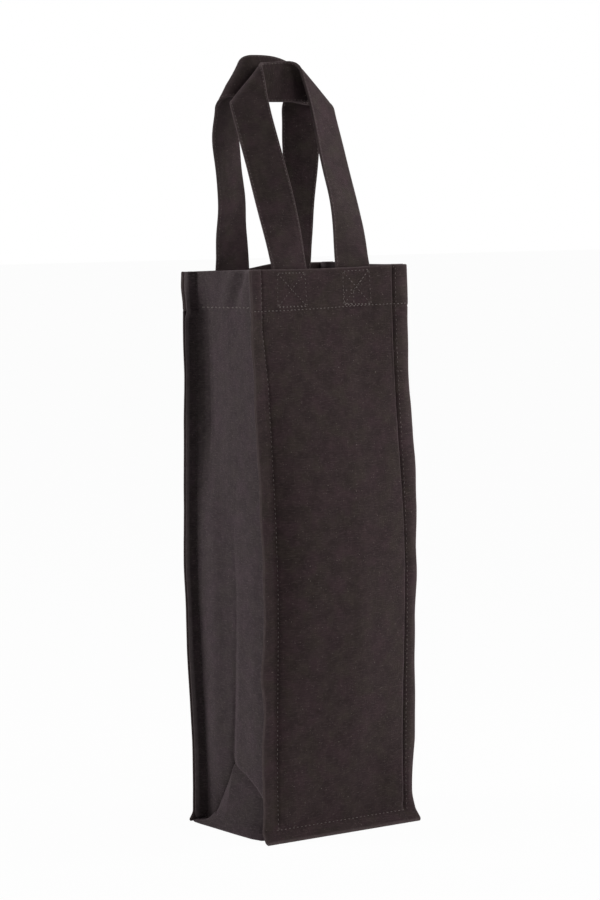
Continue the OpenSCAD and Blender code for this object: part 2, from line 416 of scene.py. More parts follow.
@dataclass(frozen=True)
class Curve:
    """A size that changes along a line, given at a few places on it."""

    places: tuple[float, ...]
    sizes: tuple[float, ...]

    def __call__(self, place: Array) -> Array:
        """Return the size at place."""
        return np.interp(place, self.places, self.sizes)


@dataclass(frozen=True)
class Swell:
    """A soft swell of a panel, or a dent where its size is negative."""

    u: float
    z: float
    across: float
    up: float
    size: float

    def __call__(self, u: Array, z: Array) -> Array:
        """Return the swell's height at u across and z up."""
        return self.size * hill(u, self.u, self.across) * hill(z, self.z, self.up)


@dataclass(frozen=True)
class Pillow:
    """How a panel bulges between its seams: steep beside one, falling slowly to the other."""

    levels: tuple[float, ...] = (8.0, 24.0, 60.0, 110.0, 165.0, 215.0, 262.0, 300.0, 322.0)
    steepness: tuple[float, ...] = (0.0, 0.4, 0.62, 0.7, 0.68, 0.52, 0.29, 0.08, 0.0)
    reach: tuple[float, ...] = (5.0, 5.5, 7.0, 10.0, 12.5, 14.0, 13.0, 12.0, 12.0)
    fall_share: tuple[float, ...] = (0.0, 0.1, 0.7, 1.0, 1.0, 0.9, 0.7, 0.3, 0.0)
    fall: float = 0.16
    fall_start: float = 13.0
    softness: float = 3.5

    def height(self, u: Array, z: Array, seam_x: float) -> Array:
        """Measure the bulge.

        Args:
            u: place across the panel, negative towards the seam that it rises steeply from.
            z: height.
            seam_x: distance of both seams from the middle.

        Returns:
            Heights over the seams' plane, positive outwards.
        """
        columns = (self.steepness, self.reach, self.fall_share)
        steepness, reach, share = (np.interp(z, self.levels, sizes) for sizes in columns)
        rise = steepness * reach * (1 - np.exp(-np.clip(u + seam_x, 0, None) / reach))
        beyond = self.softness * np.logaddexp(0, (u - self.fall_start) / self.softness)
        return rise - self.fall * share * beyond


@dataclass(frozen=True)
class PanelRelief:
    """Heights of a panel's soft relief; a pair of places is where an easing starts and ends."""

    pillow: Pillow = Pillow()
    pillow_margin: Pair = (2.6, 0.4)
    back_share: float = 0.75
    step: float = 1.1
    step_rise: Pair = (18.0, 44.0)
    step_margin: Pair = (0.9, 0.2)
    step_foot: Pair = (7.0, 16.0)
    sag: float = 0.42
    sag_stretch: float = 0.55
    sag_held: float = 0.25
    sag_margin: float = 14.0
    sag_foot: Pair = (9.0, 40.0)
    sag_top: float = 26.0
    seam_pucker: float = 0.13
    seam_pucker_reach: float = 6.5
    seam_pucker_stretch: float = 0.25
    dents: tuple[Swell, ...] = (Swell(26, 31, 17, 11, -0.75), Swell(-22, 20, 14, 8, -0.525))
    low_swell: Swell = Swell(2, 62, 22, 26, 0.5)
    foot_swell: float = 0.55
    foot_place: Pair = (14.0, 6.0)
    groove: float = 0.4
    groove_inset: float = 0.15
    groove_reach: float = 0.8
    groove_foot: Pair = (6.2, 9.0)
    dark_groove: float = 1.5
    dark_inset: float = 0.35
    dark_reach: float = 0.55
    dark_foot: Pair = (8.0, 13.0)
    back_groove: float = 0.5
    hem_step: float = 0.2
    hem_rise: Pair = (-0.2, 1.6)
    hem_groove: float = 0.42
    hem_groove_place: Pair = (0.6, 0.8)
    stitch_pucker: float = 0.1
    stitch_pucker_reach: float = 5.0


@dataclass(frozen=True)
class RidgeShape:
    """How the four stitched ridges roll, curl and stray outside their seams."""

    roll: float = 0.3
    roll_place: Pair = (4.8, 2.6)
    curl_start: float = 3.5
    curl_power: float = 1.5
    curl_foot: Pair = (6.0, 20.0)
    front_curls: Pair = (0.7, -0.9)
    back_left_curl: Curve = Curve((255, 285, 322, 336, 350), (1.3, 0.2, 0.2, 1.0, 1.5))
    back_right_curl: float = 0.5
    turned_top: float = 3.5
    turned_margins: Pair = (1.0, 8.0)
    wander: float = 0.45
    wander_stretch: float = 0.2
    wander_foot: Pair = (4.0, 20.0)
    front_left_drift: tuple[Triple, ...] = ((104, 13, 2.0), (78, 12, -0.5))
    front_right_drift: Curve = Curve(
        (0, 16, 36, 52, 130, 175, 200, 225, 248, 270, 300, 325, 350),
        (-0.4, -1.4, 0.1, 1.2, 0.5, 1.4, 3.1, 3.6, 3.8, 2.5, 2.9, 3.2, 3.0),
    )
    back_left_drift: Curve = Curve(
        (0, 16, 36, 52, 130, 175, 200, 225, 248, 270, 300, 325, 350),
        (0.9, 0.3, -0.1, -0.6, -0.6, -1.7, -2.0, -1.7, -1.5, -0.9, -0.5, -0.2, -2.6),
    )
    uneven_drift: float = 0.35
    uneven_place: float = 30.0
    uneven_stretch: float = 1.4
    drift_foot: float = 14.0
    drift_start: float = 1.5
    flare_power: float = 1.4
    tip_tuck: float = 1.3
    tip_tuck_height: Pair = (2.6, 0.4)

    def curl(self, x: Array, z: Array, face: Face) -> Array:
        """Return how far a ridge's outer edge curls outwards from the bag's middle plane.

        Args:
            x: places across the panel.
            z: heights.
            face: which panel.

        Returns:
            Distances.
        """
        left, right = self.front_curls
        if face is Face.BACK:
            left, right = self.back_left_curl(z), self.back_right_curl
        return np.where(x > 0, right, left)

    def drift(self, x: Array, z: Array, face: Face) -> Array:
        """Return how far a ridge's outer edge strays outwards to its side.

        Args:
            x: places across the panel.
            z: heights.
            face: which panel.

        Returns:
            Distances.
        """
        if face is Face.BACK:
            return np.where(x < 0, self.back_left_drift(z), 0.0)
        left = sum(size * hill(z, place, reach) for place, reach, size in self.front_left_drift)
        return np.where(x < 0, left, self.front_right_drift(z))


@dataclass(frozen=True)
class GussetShape:
    """How the side gussets fold in, crease and spread; y runs from front to back.

    Where the slanting fold has two values or pairs, the one behind its apex comes first.
    """

    fold_height: Curve = Curve(
        (-42.0, -36.0, -26.4, -18.6, -8.0, 7.4, 12.1, 18.1, 23.8, 29.0, 32.0, 42.0),
        (4.0, 14.0, 24.1, 30.3, 35.9, 41.5, 32.5, 23.3, 13.6, 5.2, 2.2, 1.8),
    )
    fold_apex: float = 7.4
    fold_steepness: Pair = (1.97, 1.12)
    fold_above: tuple[Pair, ...] = ((2.3, 2.7), (1.1, 0.7))
    fold_below: tuple[Pair, ...] = ((1.2, 0.9), (1.1, 1.5))
    fold_start: Pair = (0.0, 12.0)
    fold_ease: float = 0.7
    foot_share: Curve = Curve(
        (-41.0, -36.0, -32.0, -28.0, -21.0, -5.0, 15.0, 30.0, 36.0, 41.0),
        (0.0, 0.06, 0.24, 0.6, 0.82, 0.9, 0.95, 1.0, 0.98, 0.86),
    )
    foot_power: float = 1.15
    foot_hollow: float = 0.1
    crease_y: Curve = Curve(
        (41, 55, 81, 107, 145, 182, 226, 252, 330), (7.4, 7.2, 4.8, 3.6, 0.7, 1.3, -4.2, -8.8, -16)
    )
    crease_size: Curve = Curve(
        (38, 60, 110, 150, 190, 235, 275), (1.5, 1.15, 0.75, 0.4, 0.22, 0.1, 0.0)
    )
    crease_back: Curve = Curve((60, 150, 230), (1.2, 2.6, 4.0))
    crease_front: float = 3.4
    pocket: float = 4.9
    pocket_by_height: Curve = Curve(
        (185, 205, 250, 290, 325, 338, 350), (0.0, 0.14, 1.0, 0.85, 0.6, 0.25, 0.08)
    )
    pocket_across: Curve = Curve(
        (-1, -0.5, 0.1, 0.5, 0.66, 0.76, 0.88, 0.96, 1),
        (0, 0.16, 0.52, 0.88, 0.99, 0.95, 0.62, 0.22, 0),
    )
    hollow: float = 0.81
    hollow_foot: Pair = (60.0, 120.0)
    hollow_top: Pair = (190.0, 240.0)
    rolls: tuple[Triple, ...] = ((24, 11, 1.7), (-22, 12, 0.7))
    roll_foot: Pair = (12.0, 60.0)
    roll_top: Pair = (180.0, 235.0)
    roll_fade: float = 0.85
    sag: float = 0.4
    sag_across: float = 30.0
    sag_stretch: float = 0.5
    sag_foot: Pair = (30.0, 70.0)
    edge_power: int = 8
    slant: float = 0.62
    slant_y: float = 20.5
    slant_top: float = 3.0
    slant_folds: tuple[Triple, ...] = ((4.0, 6.0, 1.5), (15.0, 8.0, -0.9))
    slant_rise: Pair = (-6.0, 12.0)

    def crease(self, y: Array, z: Array) -> Array:
        """Return the depth of the fine crease down a side, which tails off to the back.

        Args:
            y: places from front to back.
            z: heights.

        Returns:
            Depths.
        """
        away = y - self.crease_y(z)
        behind = np.exp(-np.abs(away) / self.crease_back(z))
        return self.crease_size(z) * np.where(away > 0, behind, hill(away, 0, self.crease_front))

    def web(self, v: Array, y: Array, z: Array) -> Array:
        """Return the inward folds of a side over its foot, at share v and place y across it.

        Args:
            v: shares across the side, -1 to 1.
            y: places across it.
            z: heights.

        Returns:
            Depths, positive inwards.
        """
        inside = 1 - np.abs(v) ** self.edge_power
        hollow = self.hollow * (1 - v * v) * smooth(*self.hollow_foot, z)
        fold = self.pocket * self.pocket_by_height(z) * self.pocket_across(v)
        fold = fold + hollow * (1 - smooth(*self.hollow_top, z)) + self.crease(y, z)
        roll = sum(size * hill(y, place, reach) for place, reach, size in self.rolls)
        roll = roll * smooth(*self.roll_foot, z) * (1 - self.roll_fade * smooth(*self.roll_top, z))
        return fold - roll * inside

    def fold_relief(self, foot: Array, fold: Array, y: Array, z: Array) -> Array:
        """Join the foot to the side over it, with the valley of the slanting fold between them.

        Args:
            foot: depths of the foot's cloth.
            fold: depths of the side's cloth.
            y: place from front to back.
            z: height.

        Returns:
            Depths of the joined cloth.
        """
        top, behind = self.fold_height(y), y > self.fold_apex
        distance = (z - top) / np.where(behind, *self.fold_steepness)
        over, under = np.clip(distance, 0, None), np.clip(-distance, 0, None)
        above = [size * np.exp(-over / reach) for size, reach in self.fold_above]
        (size, reach), (front_size, front_reach) = self.fold_below
        below = size * hill(under, 0, reach), front_size * np.exp(-under / front_reach)
        above, below = np.where(behind, *above), np.where(behind, *below)
        size = smooth(*self.fold_start, top)
        share = smooth(-self.fold_ease, self.fold_ease, distance)
        return lerp(foot + size * below, fold + size * above, share)


@dataclass
class BagForm:
    """Outer shape that every layer of cloth in the bag follows."""

    sizes: BagSizes = field(default_factory=BagSizes)
    soft: PanelRelief = PanelRelief()
    ridges: RidgeShape = RidgeShape()
    gusset: GussetShape = GussetShape()
    layer: float = 0.93
    thick: float = 0.86
    rim_radius: float = 0.465
    rim_ease: float = 5.0
    bottom_fold: float = 0.7
    upright_above: float = 12.0
    stitch_inset: float = 0.75
    stitch_bend: float = 2.6
    stitch_bend_height: Pair = (320.0, 275.0)
    front_rises: tuple[Triple, ...] = ((1.6, -10.0, 57.0), (0.4, -20.0, -57.0))
    back_rises: tuple[Triple, ...] = ((3.6, -16.0, 18.0), (-0.4, -20.0, -57.0))

    def __post_init__(self) -> None:
        """Draw the unevenness of each panel and side."""
        self.sag = {face: Ripple(11 + k, 74.0) for k, face in enumerate(Face)}
        self.pucker = {face: Ripple(31 + k, 9.0) for k, face in enumerate(Face)}
        self.wander = {face: Ripple(51 + k, 60.0) for k, face in enumerate(Face)}
        self.web_sag = {side: Ripple(71 + int(side), 52.0) for side in (-1.0, 1.0)}

    @property
    def rim_base(self) -> float:
        """Height at which the cloth starts to turn over the rim."""
        return self.sizes.height - self.thick / 2 - self.rim_radius

    def rim_share(self, z: Array) -> Array:
        """Return the share of the rim's rises that height z takes part in."""
        return smooth(self.sizes.hem_base + self.rim_ease, self.sizes.height, z)

    def half_out(self, z: Array) -> Array:
        """Return half the bag's depth at height z.

        Args:
            z: heights.

        Returns:
            Distances from the middle plane.
        """
        s = self.sizes
        base, belly, rim = s.base_depth / 2, s.belly_depth / 2, s.rim_depth / 2
        low = base + (belly - base) * smooth(s.flare_height, s.belly_height, z)
        high = belly + (rim - belly) * smooth(s.belly_height, s.hem_base, z)
        return np.where(np.asarray(z) < s.belly_height, low, high)

    def relief(self, x: Array, z: Array, face: Face) -> Array:
        """Return how far a panel's outer face stands proud of its plain shape.

        Args:
            x: place across the panel.
            z: height.
            face: which panel.

        Returns:
            Heights, positive outwards.
        """
        s, soft = self.sizes, self.soft
        seam, away, u = s.seam_x, np.abs(x), -face.value * x
        strength = 1.0 if face is Face.FRONT else soft.back_share
        first, last = soft.pillow_margin
        inside = 1 - smooth(seam - first, seam - last, away)
        lift = strength * soft.pillow.height(u, z, seam) * inside
        if face is Face.FRONT:
            first, last = soft.step_margin
            step = soft.step * smooth(*soft.step_rise, x) * smooth(*soft.step_foot, z)
            lift = lift + step * (1 - smooth(seam - first, seam - last, x))
        free = smooth(*soft.sag_foot, z) * (1 - smooth(s.hem_base - soft.sag_top, s.hem_base, z))
        sag = self.sag[face](x, z * soft.sag_stretch) * lerp(soft.sag_held, 1.0, free)
        lift = lift + soft.sag * sag * smooth(seam, seam - soft.sag_margin, away)
        pucker = self.pucker[face](x * soft.seam_pucker_stretch, z)
        lift = lift + soft.seam_pucker * hill(away, seam, soft.seam_pucker_reach) * pucker
        lift = lift + strength * sum(dent(u, z) for dent in soft.dents) + soft.low_swell(u, z)
        lift = lift + soft.foot_swell * hill(z, *soft.foot_place) * inside
        lift = lift + self.ridge_lift(x, z, face) + self.hem_lift(x, z, face)
        return lift - self.grooves(x, z, face)

    def ridge_lift(self, x: Array, z: Array, face: Face) -> Array:
        """Return how far the ridges outside the seams stand proud.

        Args:
            x: places across the panel.
            z: heights.
            face: which panel.

        Returns:
            Heights, positive outwards.
        """
        s, ridges, away = self.sizes, self.ridges, np.abs(x)
        seam, edge = s.seam_x, s.width / 2
        place, reach = ridges.roll_place
        lift = ridges.roll * hill(away, seam + place, reach)
        outer = smooth(seam + ridges.curl_start, edge, away) ** ridges.curl_power
        lift = lift + ridges.curl(x, z, face) * outer * smooth(*ridges.curl_foot, z)
        if face is Face.BACK:
            low, high = ridges.turned_margins
            turned = np.clip((-x - seam) / s.ridge_width, 0, 1)
            lift = lift + ridges.turned_top * turned * smooth(s.hem_base + low, s.height - high, z)
        wander = self.wander[face](x * ridges.wander_stretch, z) * smooth(seam, edge, away)
        return lift + ridges.wander * wander * smooth(*ridges.wander_foot, z)

    def grooves(self, x: Array, z: Array, face: Face) -> Array:
        """Return the depth of the grooves that the side seams pull into a panel.

        Args:
            x: places across the panel.
            z: heights.
            face: which panel.

        Returns:
            Depths.
        """
        soft, seam = self.soft, self.sizes.seam_x
        stitches = self.stitch_x(x, z, face) - soft.groove_inset
        groove = soft.groove * hill(np.abs(x), stitches, soft.groove_reach)
        if face is Face.FRONT:
            dark = soft.dark_groove * hill(x, seam - soft.dark_inset, soft.dark_reach)
            groove = groove + dark * smooth(*soft.dark_foot, z)
        else:
            beside = seam - soft.groove_reach
            groove = groove + soft.back_groove * hill(np.abs(x), beside, soft.groove_reach)
        return groove * smooth(*soft.groove_foot, z)

    def hem_lift(self, x: Array, z: Array, face: Face) -> Array:
        """Return how far a panel stands proud at its hem, with the puckers along its seams.

        Args:
            x: places across the panel.
            z: heights.
            face: which panel.

        Returns:
            Heights, positive outwards.
        """
        s, soft, pucker = self.sizes, self.soft, self.pucker[face]
        low, high = soft.hem_rise
        place, reach = soft.hem_groove_place
        step = soft.hem_step * smooth(s.hem_base + low, s.hem_base + high, z)
        groove = soft.hem_groove * hill(z, s.hem_base + place, reach)
        top = pucker(x, z * 0.3) * hill(z, s.hem_base, soft.stitch_pucker_reach)
        bottom = pucker(x, z) * hill(z, s.seam_height, soft.stitch_pucker_reach)
        return step - groove + soft.stitch_pucker * (top + bottom)

    def stitch_x(self, x: Array, z: Array, face: Face) -> Array:
        """Return how far from the bag's middle the side seam's stitches run, on the side of x.

        Args:
            x: places across the panel.
            z: heights.
            face: which panel.

        Returns:
            Distances from the middle.
        """
        place = self.sizes.seam_x + self.stitch_inset
        bend = self.stitch_bend * smooth(*self.stitch_bend_height, z)
        return place - np.where((np.asarray(x) < 0) & (face is Face.FRONT), bend, 0.0)

    def rim_rise(self, x: Array, face: Face) -> Array:
        """Return how far a panel's rim stands over its plain height at x."""
        rises = self.front_rises if face is Face.FRONT else self.back_rises
        return sum(size * smooth(start, end, x) for size, start, end in rises)

    def outer(self, x: Array, z: Array, face: Face) -> Array:
        """Return the distance of a panel's outer face from the bag's middle plane.

        Args:
            x: places across the panel.
            z: heights.
            face: which panel.

        Returns:
            Distances.
        """
        s, fold = self.sizes, self.bottom_fold
        splay = math.tan(s.splay) * fold * np.logaddexp(0, (s.seam_height - z) / fold)
        return self.half_out(z) + splay + self.relief(x, z, face) * smooth(1, 9, z)

    def slope(self, x: Array, z: Array, face: Face) -> Array:
        """Return how fast the outer face moves out as the height grows."""
        step = 0.25
        return (self.outer(x, z + step, face) - self.outer(x, z - step, face)) / (2 * step)

    def under(self, x: Array, z: Array, face: Face, depth: Array) -> Array:
        """Place points at a depth under a panel's outer face.

        Args:
            x: places across the panel.
            z: heights of the face points that they lie under.
            face: which panel.
            depth: depth under the outer face.

        Returns:
            Points, with the last axis x, y, z.
        """
        x, z, depth = np.broadcast_arrays(*(np.asarray(a, float) for a in (x, z, depth)))
        rate = np.where(z > self.upright_above, 0.0, self.slope(x, z, face))
        size = np.sqrt(1 + rate * rate)
        y = self.outer(x, z, face) - depth / size
        return np.stack([x, face.value * y, z + depth * rate / size], -1)

    def edge_shift(self, x: Array, z: Array, face: Face) -> Array:
        """Return how far the ridges' outer edges stray sideways, outwards, at x and z.

        Args:
            x: places across the panel.
            z: heights.
            face: which panel.

        Returns:
            Distances, positive outwards.
        """
        s, ridges, side = self.sizes, self.ridges, np.sign(x)
        z = np.asarray(z)
        flare = s.corner_flare * np.clip(1 - z / s.flare_height, 0, 1) ** ridges.flare_power
        flare = flare - ridges.tip_tuck * smooth(*ridges.tip_tuck_height, z) ** 2
        uneven = self.wander[face](ridges.uneven_place * side, z * ridges.uneven_stretch)
        drift = ridges.uneven_drift * uneven + ridges.drift(x, z, face)
        outside = smooth(s.seam_x + ridges.drift_start, s.width / 2, np.abs(x))
        return (flare + drift * smooth(0, ridges.drift_foot, z)) * outside

    def foot_out(self, y: Array) -> Array:
        """Return how far a gusset's foot stands outside its seams on the floor, at y."""
        return self.sizes.foot_spread * self.gusset.foot_share(y)

    def web_in(self, v: Array, z: Array, side: float) -> Array:
        """Return how far a side gusset's cloth lies inside its seams.

        Args:
            v: place across the side, -1 at the front seam and 1 at the back one.
            z: height.
            side: -1 for the left side, 1 for the right one.

        Returns:
            Depths, positive inwards; the foot's spread makes them negative.
        """
        s, gusset = self.sizes, self.gusset
        v, z = np.broadcast_arrays(np.asarray(v, float), np.asarray(z, float))
        y = v * (self.half_out(z) - 2 * self.layer)
        inside = 1 - np.abs(v) ** gusset.edge_power
        sag = self.web_sag[side](v * gusset.sag_across, z * gusset.sag_stretch)
        fold = gusset.web(v, y, z) + gusset.sag * sag * inside * smooth(*gusset.sag_foot, z)
        low, high = gusset.slant_rise
        slant = y + gusset.slant_y - (s.height - gusset.slant_top - z) * gusset.slant
        dents = sum(size * hill(slant, place, reach) for place, reach, size in gusset.slant_folds)
        fold = fold + dents * smooth(s.hem_base + low, s.hem_base + high, z) * inside
        share = np.clip(z / gusset.fold_height(y), 0, 1)
        spread = self.foot_out(y) * (1 - share) ** gusset.foot_power
        return gusset.fold_relief(gusset.foot_hollow * share**3 - spread, fold, y, z)


@dataclass
class Panel:
    """A front or back panel: one sheet from its bottom ridge up over the rim to its hem."""

    form: BagForm
    face: Face
    gap: float = 0.02
    column_step: float = 1.75
    seam_band: Triple = (-4.2, 2.4, 0.42)
    row_step: float = 1.9
    hem_band: Triple = (-2.6, 3.4, 0.5)
    hem_tuck: float = 0.25
    rim_wave: float = 0.35
    seam_thinning: float = 0.16
    hem_thinning: float = 0.12
    rim_wear: float = 0.8

    def columns(self) -> Array:
        """Return the places of the mesh's columns across the panel, closer at the seams."""
        s = self.form.sizes
        edge = s.width / 2 - self.form.thick / 2
        start, end, step = self.seam_band
        seam = np.arange(s.seam_x + start, s.seam_x + end, step)
        inside = np.arange(0.9, seam[0] - 0.9, self.column_step)
        half = np.concatenate([inside, seam, np.linspace(seam[-1] + 0.8, edge, 8)])
        return np.concatenate([-half[::-1], half])

    def rows(self) -> tuple[Array, Array]:
        """Return the height and the depth under the outer face of each row."""
        s, form = self.form.sizes, self.form
        near, top = form.thick / 2 + self.gap, form.rim_base
        far = near + form.layer
        start, end, step = self.hem_band
        side = np.arange(9.4, s.hem_base - 3, self.row_step)
        hem = np.arange(s.hem_base + start, s.hem_base + end, step)
        upper = np.linspace(hem[-1] + 1.2, top - 0.6, 13)
        outer = np.concatenate([np.linspace(0.78, s.seam_height + 1.2, 12), side, hem, upper])
        inner = np.linspace(top - 0.5, s.hem_base + 0.3, 17)
        turn = np.linspace(0, math.pi, 8)
        over = (near + far) / 2 - (far - near) / 2 * np.cos(turn)
        heights = np.concatenate([outer, top + form.rim_radius * np.sin(turn), inner])
        depths = np.concatenate([np.full(len(outer), near), over, np.full(len(inner), far)])
        return heights, depths

    def layer(self) -> ClothLayer:
        """Return the panel's cloth."""
        form, s = self.form, self.form.sizes
        heights, depths = self.rows()
        x, z = np.meshgrid(self.columns() * -self.face.value, heights)
        depth, away = np.broadcast_to(depths[:, None], x.shape), np.abs(x)
        points = form.under(x, z, self.face, depth)
        tuck = (depth > form.thick) * self.hem_tuck * smooth(40, 57, away)
        points[..., 0] += np.sign(x) * (form.edge_shift(x, z, self.face) - tuck)
        rise = self.rim_wave * form.sag[self.face](x * 0.6, z * 0 + 9)
        points[..., 2] += (rise + form.rim_rise(x, self.face)) * form.rim_share(z)
        seam = self.seam_thinning * hill(away, s.seam_x + 0.6, 0.7)
        hem = self.hem_thinning * hill(z, s.hem_base + 0.6, 0.7)
        edges = smooth(s.width / 2 - 1.6, s.width / 2 - 0.3, away)
        rim = smooth(s.height - 1.1, s.height - 0.4, z) * self.rim_wear
        wear = np.maximum(np.maximum(edges, rim), smooth(2.4, 0.8, z))
        return ClothLayer.woven(points, form.thick * (1 - seam - hem), wear)


@dataclass
class SewnPanel:
    """A panel's cloth, on which a seam finds its way by place across it and height."""

    panel: Panel
    cloth: ClothLayer

    def across(self, x: Array) -> Array:
        """Return the places across the cloth of x."""
        return np.interp(x, self.panel.columns(), self.cloth.across)

    def line(self, x: Array, z: Array) -> tuple[Array, Array]:
        """Return points of the outer face at x and z, and its normals there.

        Args:
            x: places across the panel.
            z: heights.

        Returns:
            The points and their normals.
        """
        heights, depths = self.panel.rows()
        outside = int(np.argmax(depths > self.panel.form.thick))
        along = np.interp(z, heights[:outside], self.cloth.along[:outside])
        return self.cloth.run(self.across(x), along, 1)


@dataclass
class GussetStrip:
    """The one strip of cloth that makes the left side, the base and the right side."""

    form: BagForm
    gap: float = 0.03
    corner_radius: float = 1.0
    corner_share: float = 1.6
    corner_points: int = 6
    crowding: float = 0.055
    web_columns: int = 110
    flange_columns: int = 6
    flange_start: float = 0.16
    seam_drop: float = 0.65
    floor_gap: float = 0.04
    base_inset: float = 6.0
    base_slope_power: float = 1.25
    base_sag: float = 0.35
    turn_rows: int = 18
    turn_stops: tuple[float, ...] = (0.0, 0.22, 0.7, 0.8, 1.0)
    base_rows: int = 34
    rim_wear: float = 0.7
    crease_wear: float = 0.15

    @property
    def first(self) -> float:
        """Depth of the seam allowances' middle surface under a panel's outer face."""
        return self.form.thick / 2 + self.gap + self.form.layer

    @property
    def wall_x(self) -> float:
        """Place of a side's cloth at its seams."""
        return self.form.sizes.seam_x - self.form.thick / 2

    @property
    def tip_x(self) -> float:
        """Place of the seam allowances' tips."""
        return self.form.sizes.width / 2 - self.form.sizes.ridge_tuck - self.form.thick / 2

    @property
    def seam_z(self) -> float:
        """Height of the corners at the bottom seams."""
        return self.form.sizes.seam_height - self.seam_drop

    @property
    def foot_top(self) -> float:
        """Height at which a side starts to turn to the base."""
        return self.form.sizes.seam_height + self.form.sizes.cloth

    @property
    def reach(self) -> Array:
        """Places of the seam allowances' columns, from the tip to near the corner."""
        return np.linspace(1, self.flange_start, self.flange_columns)

    def depth_at(self, z: float, inner: float) -> float:
        """Return how deep under the panel's face a row's seam allowance lies.

        Args:
            z: the row's height.
            inner: 0 on the outer layer, 1 on the hem's turned layer.

        Returns:
            Depth of the allowance's middle surface.
        """
        base, layer = self.form.sizes.hem_base, self.form.layer
        outer = self.first + 2 * layer * smooth(base - 5, base - 0.5, z)
        return float(lerp(outer, self.first + layer, inner))

    def web_places(self, half: float) -> Array:
        """Return the places of the web's columns in a row that is half mm wide each way.

        Args:
            half: half the row's width.

        Returns:
            Shares from -1 to 1.
        """
        t = np.linspace(-1, 1, self.web_columns)
        places = t - self.crowding * np.sin(2 * math.pi * t)
        limit = 1 - self.corner_share * self.corner_radius / half
        return places * limit / np.abs(places).max()

    def foot_places(self) -> Array:
        """Return the places of the web's columns where the foot starts."""
        half = float(self.form.half_out(self.foot_top)) - self.form.thick / 2 - self.form.layer
        return self.web_places(half)

    def assemble(self, corners: list, tips: list, web: Array) -> Array:
        """Join one row's seam allowances and web with soft turns at both seams.

        Args:
            corners: the front and the back corner.
            tips: points of the front and the back allowance, from tip to corner.
            web: points of the web, from front to back.

        Returns:
            The row's points from the front tip to the back tip.
        """
        halves, t = [], np.linspace(0, 1, self.corner_points)[:, None]
        for corner, edge, inner_point in zip(corners, tips, (web[0], web[-1])):
            out, into = edge[-1] - corner, inner_point - corner
            first = corner + out / np.linalg.norm(out) * self.corner_radius
            last = corner + into / np.linalg.norm(into) * self.corner_radius
            bend = (1 - t) ** 2 * first + 2 * t * (1 - t) * corner + t * t * last
            halves.append(np.concatenate([edge, bend]))
        return np.concatenate([halves[0], web, halves[1][::-1]])

    def side_row(self, z: float, side: float, inner: float, lift: float = 0.0) -> Array:
        """Return one level row of a side.

        Args:
            z: the row's height.
            side: -1 for the left side, 1 for the right one.
            inner: 0 on the outer layer, 1 on the hem's turned layer.
            lift: height added after the shape is taken, on the turn over the rim.

        Returns:
            The row's points.
        """
        form = self.form
        depth, web_x = self.depth_at(z, inner), self.wall_x - form.layer * inner
        x = side * lerp(web_x, self.tip_x, self.reach)
        corners, tips = [], []
        for face in Face:
            corners.append(form.under(side * web_x, z, face, depth))
            tips.append(form.under(x, z, face, depth))
            tips[-1][:, 0] += side * form.edge_shift(x, z, face)
        v = self.web_places(abs(corners[0][1] - corners[1][1]) / 2)
        y = lerp(corners[0][1], corners[1][1], (v + 1) / 2)
        web = np.stack([side * (web_x - form.web_in(v, z, side)), y, np.full_like(y, z)], -1)
        row = self.assemble(corners, tips, web)
        front, back = (form.rim_rise(side * form.sizes.width / 2, face) for face in Face)
        rise = lerp(front, back, smooth(-36, 36, row[:, 1])) * form.rim_share(z)
        row[:, 2] += lift + rise
        return row

    def foot(self, side: float) -> list[Array]:
        """Return the rows that turn from a side to the base, the highest one first.

        Args:
            side: -1 for the left side, 1 for the right one.

        Returns:
            The rows.
        """
        form, start, start_x = self.form, self.foot_top, self.wall_x
        v = self.foot_places()
        y = v * (form.sizes.base_depth / 2 - self.first)
        out, low = form.foot_out(y), self.base_height(y)
        high = start_x - form.web_in(v, start, side)
        tip = np.maximum(start_x + out, start_x - 2.0)
        tip_z = lerp(low, self.base_height(0.0 * v), smooth(2.0, 6.0, out))
        ledge = np.clip(form.gusset.fold_height(y), tip_z + 0.9, start)
        flat = (start - ledge) / (start - low) < 0.05
        inner_x = np.where(ledge < start - 0.2, high, high + (tip - high) * 0.12)
        end_x = start_x - self.base_inset
        stops = np.array([
            (high, 0 * high + start), (inner_x, ledge + 0.25 * (start - ledge) * flat),
            (tip, tip_z + 0.75), (tip - 0.35, tip_z), (0 * tip + end_x, low),
        ])
        rows = []
        for t in np.linspace(0, 1, self.turn_rows + 1)[1:]:
            place = np.interp(t, self.turn_stops, range(len(stops)))
            k = min(int(place), len(stops) - 2)
            x, z = lerp(stops[k], stops[k + 1], place - k)
            centre_x = (1 - t * t) * start_x + t * t * end_x
            centre_z = (1 - t) ** 2 * start + (1 - (1 - t) ** 2) * self.seam_z
            rows.append(self.low_row(side, centre_x, centre_z, t * math.pi / 2, x, z, v))
        return rows

    def base_height(self, y: Array) -> Array:
        """Return the height of the base cloth's middle surface at y.

        Args:
            y: places from front to back.

        Returns:
            Heights.
        """
        form, s = self.form, self.form.sizes
        floor = form.thick / 2 + self.floor_gap
        inner = s.base_depth / 2 - s.base_slope_width
        outer = s.base_depth / 2 - form.thick / 2 - form.layer
        share = np.clip((np.abs(y) - inner) / (outer - inner), 0, 1)
        return floor + (self.seam_z - floor) * share**self.base_slope_power

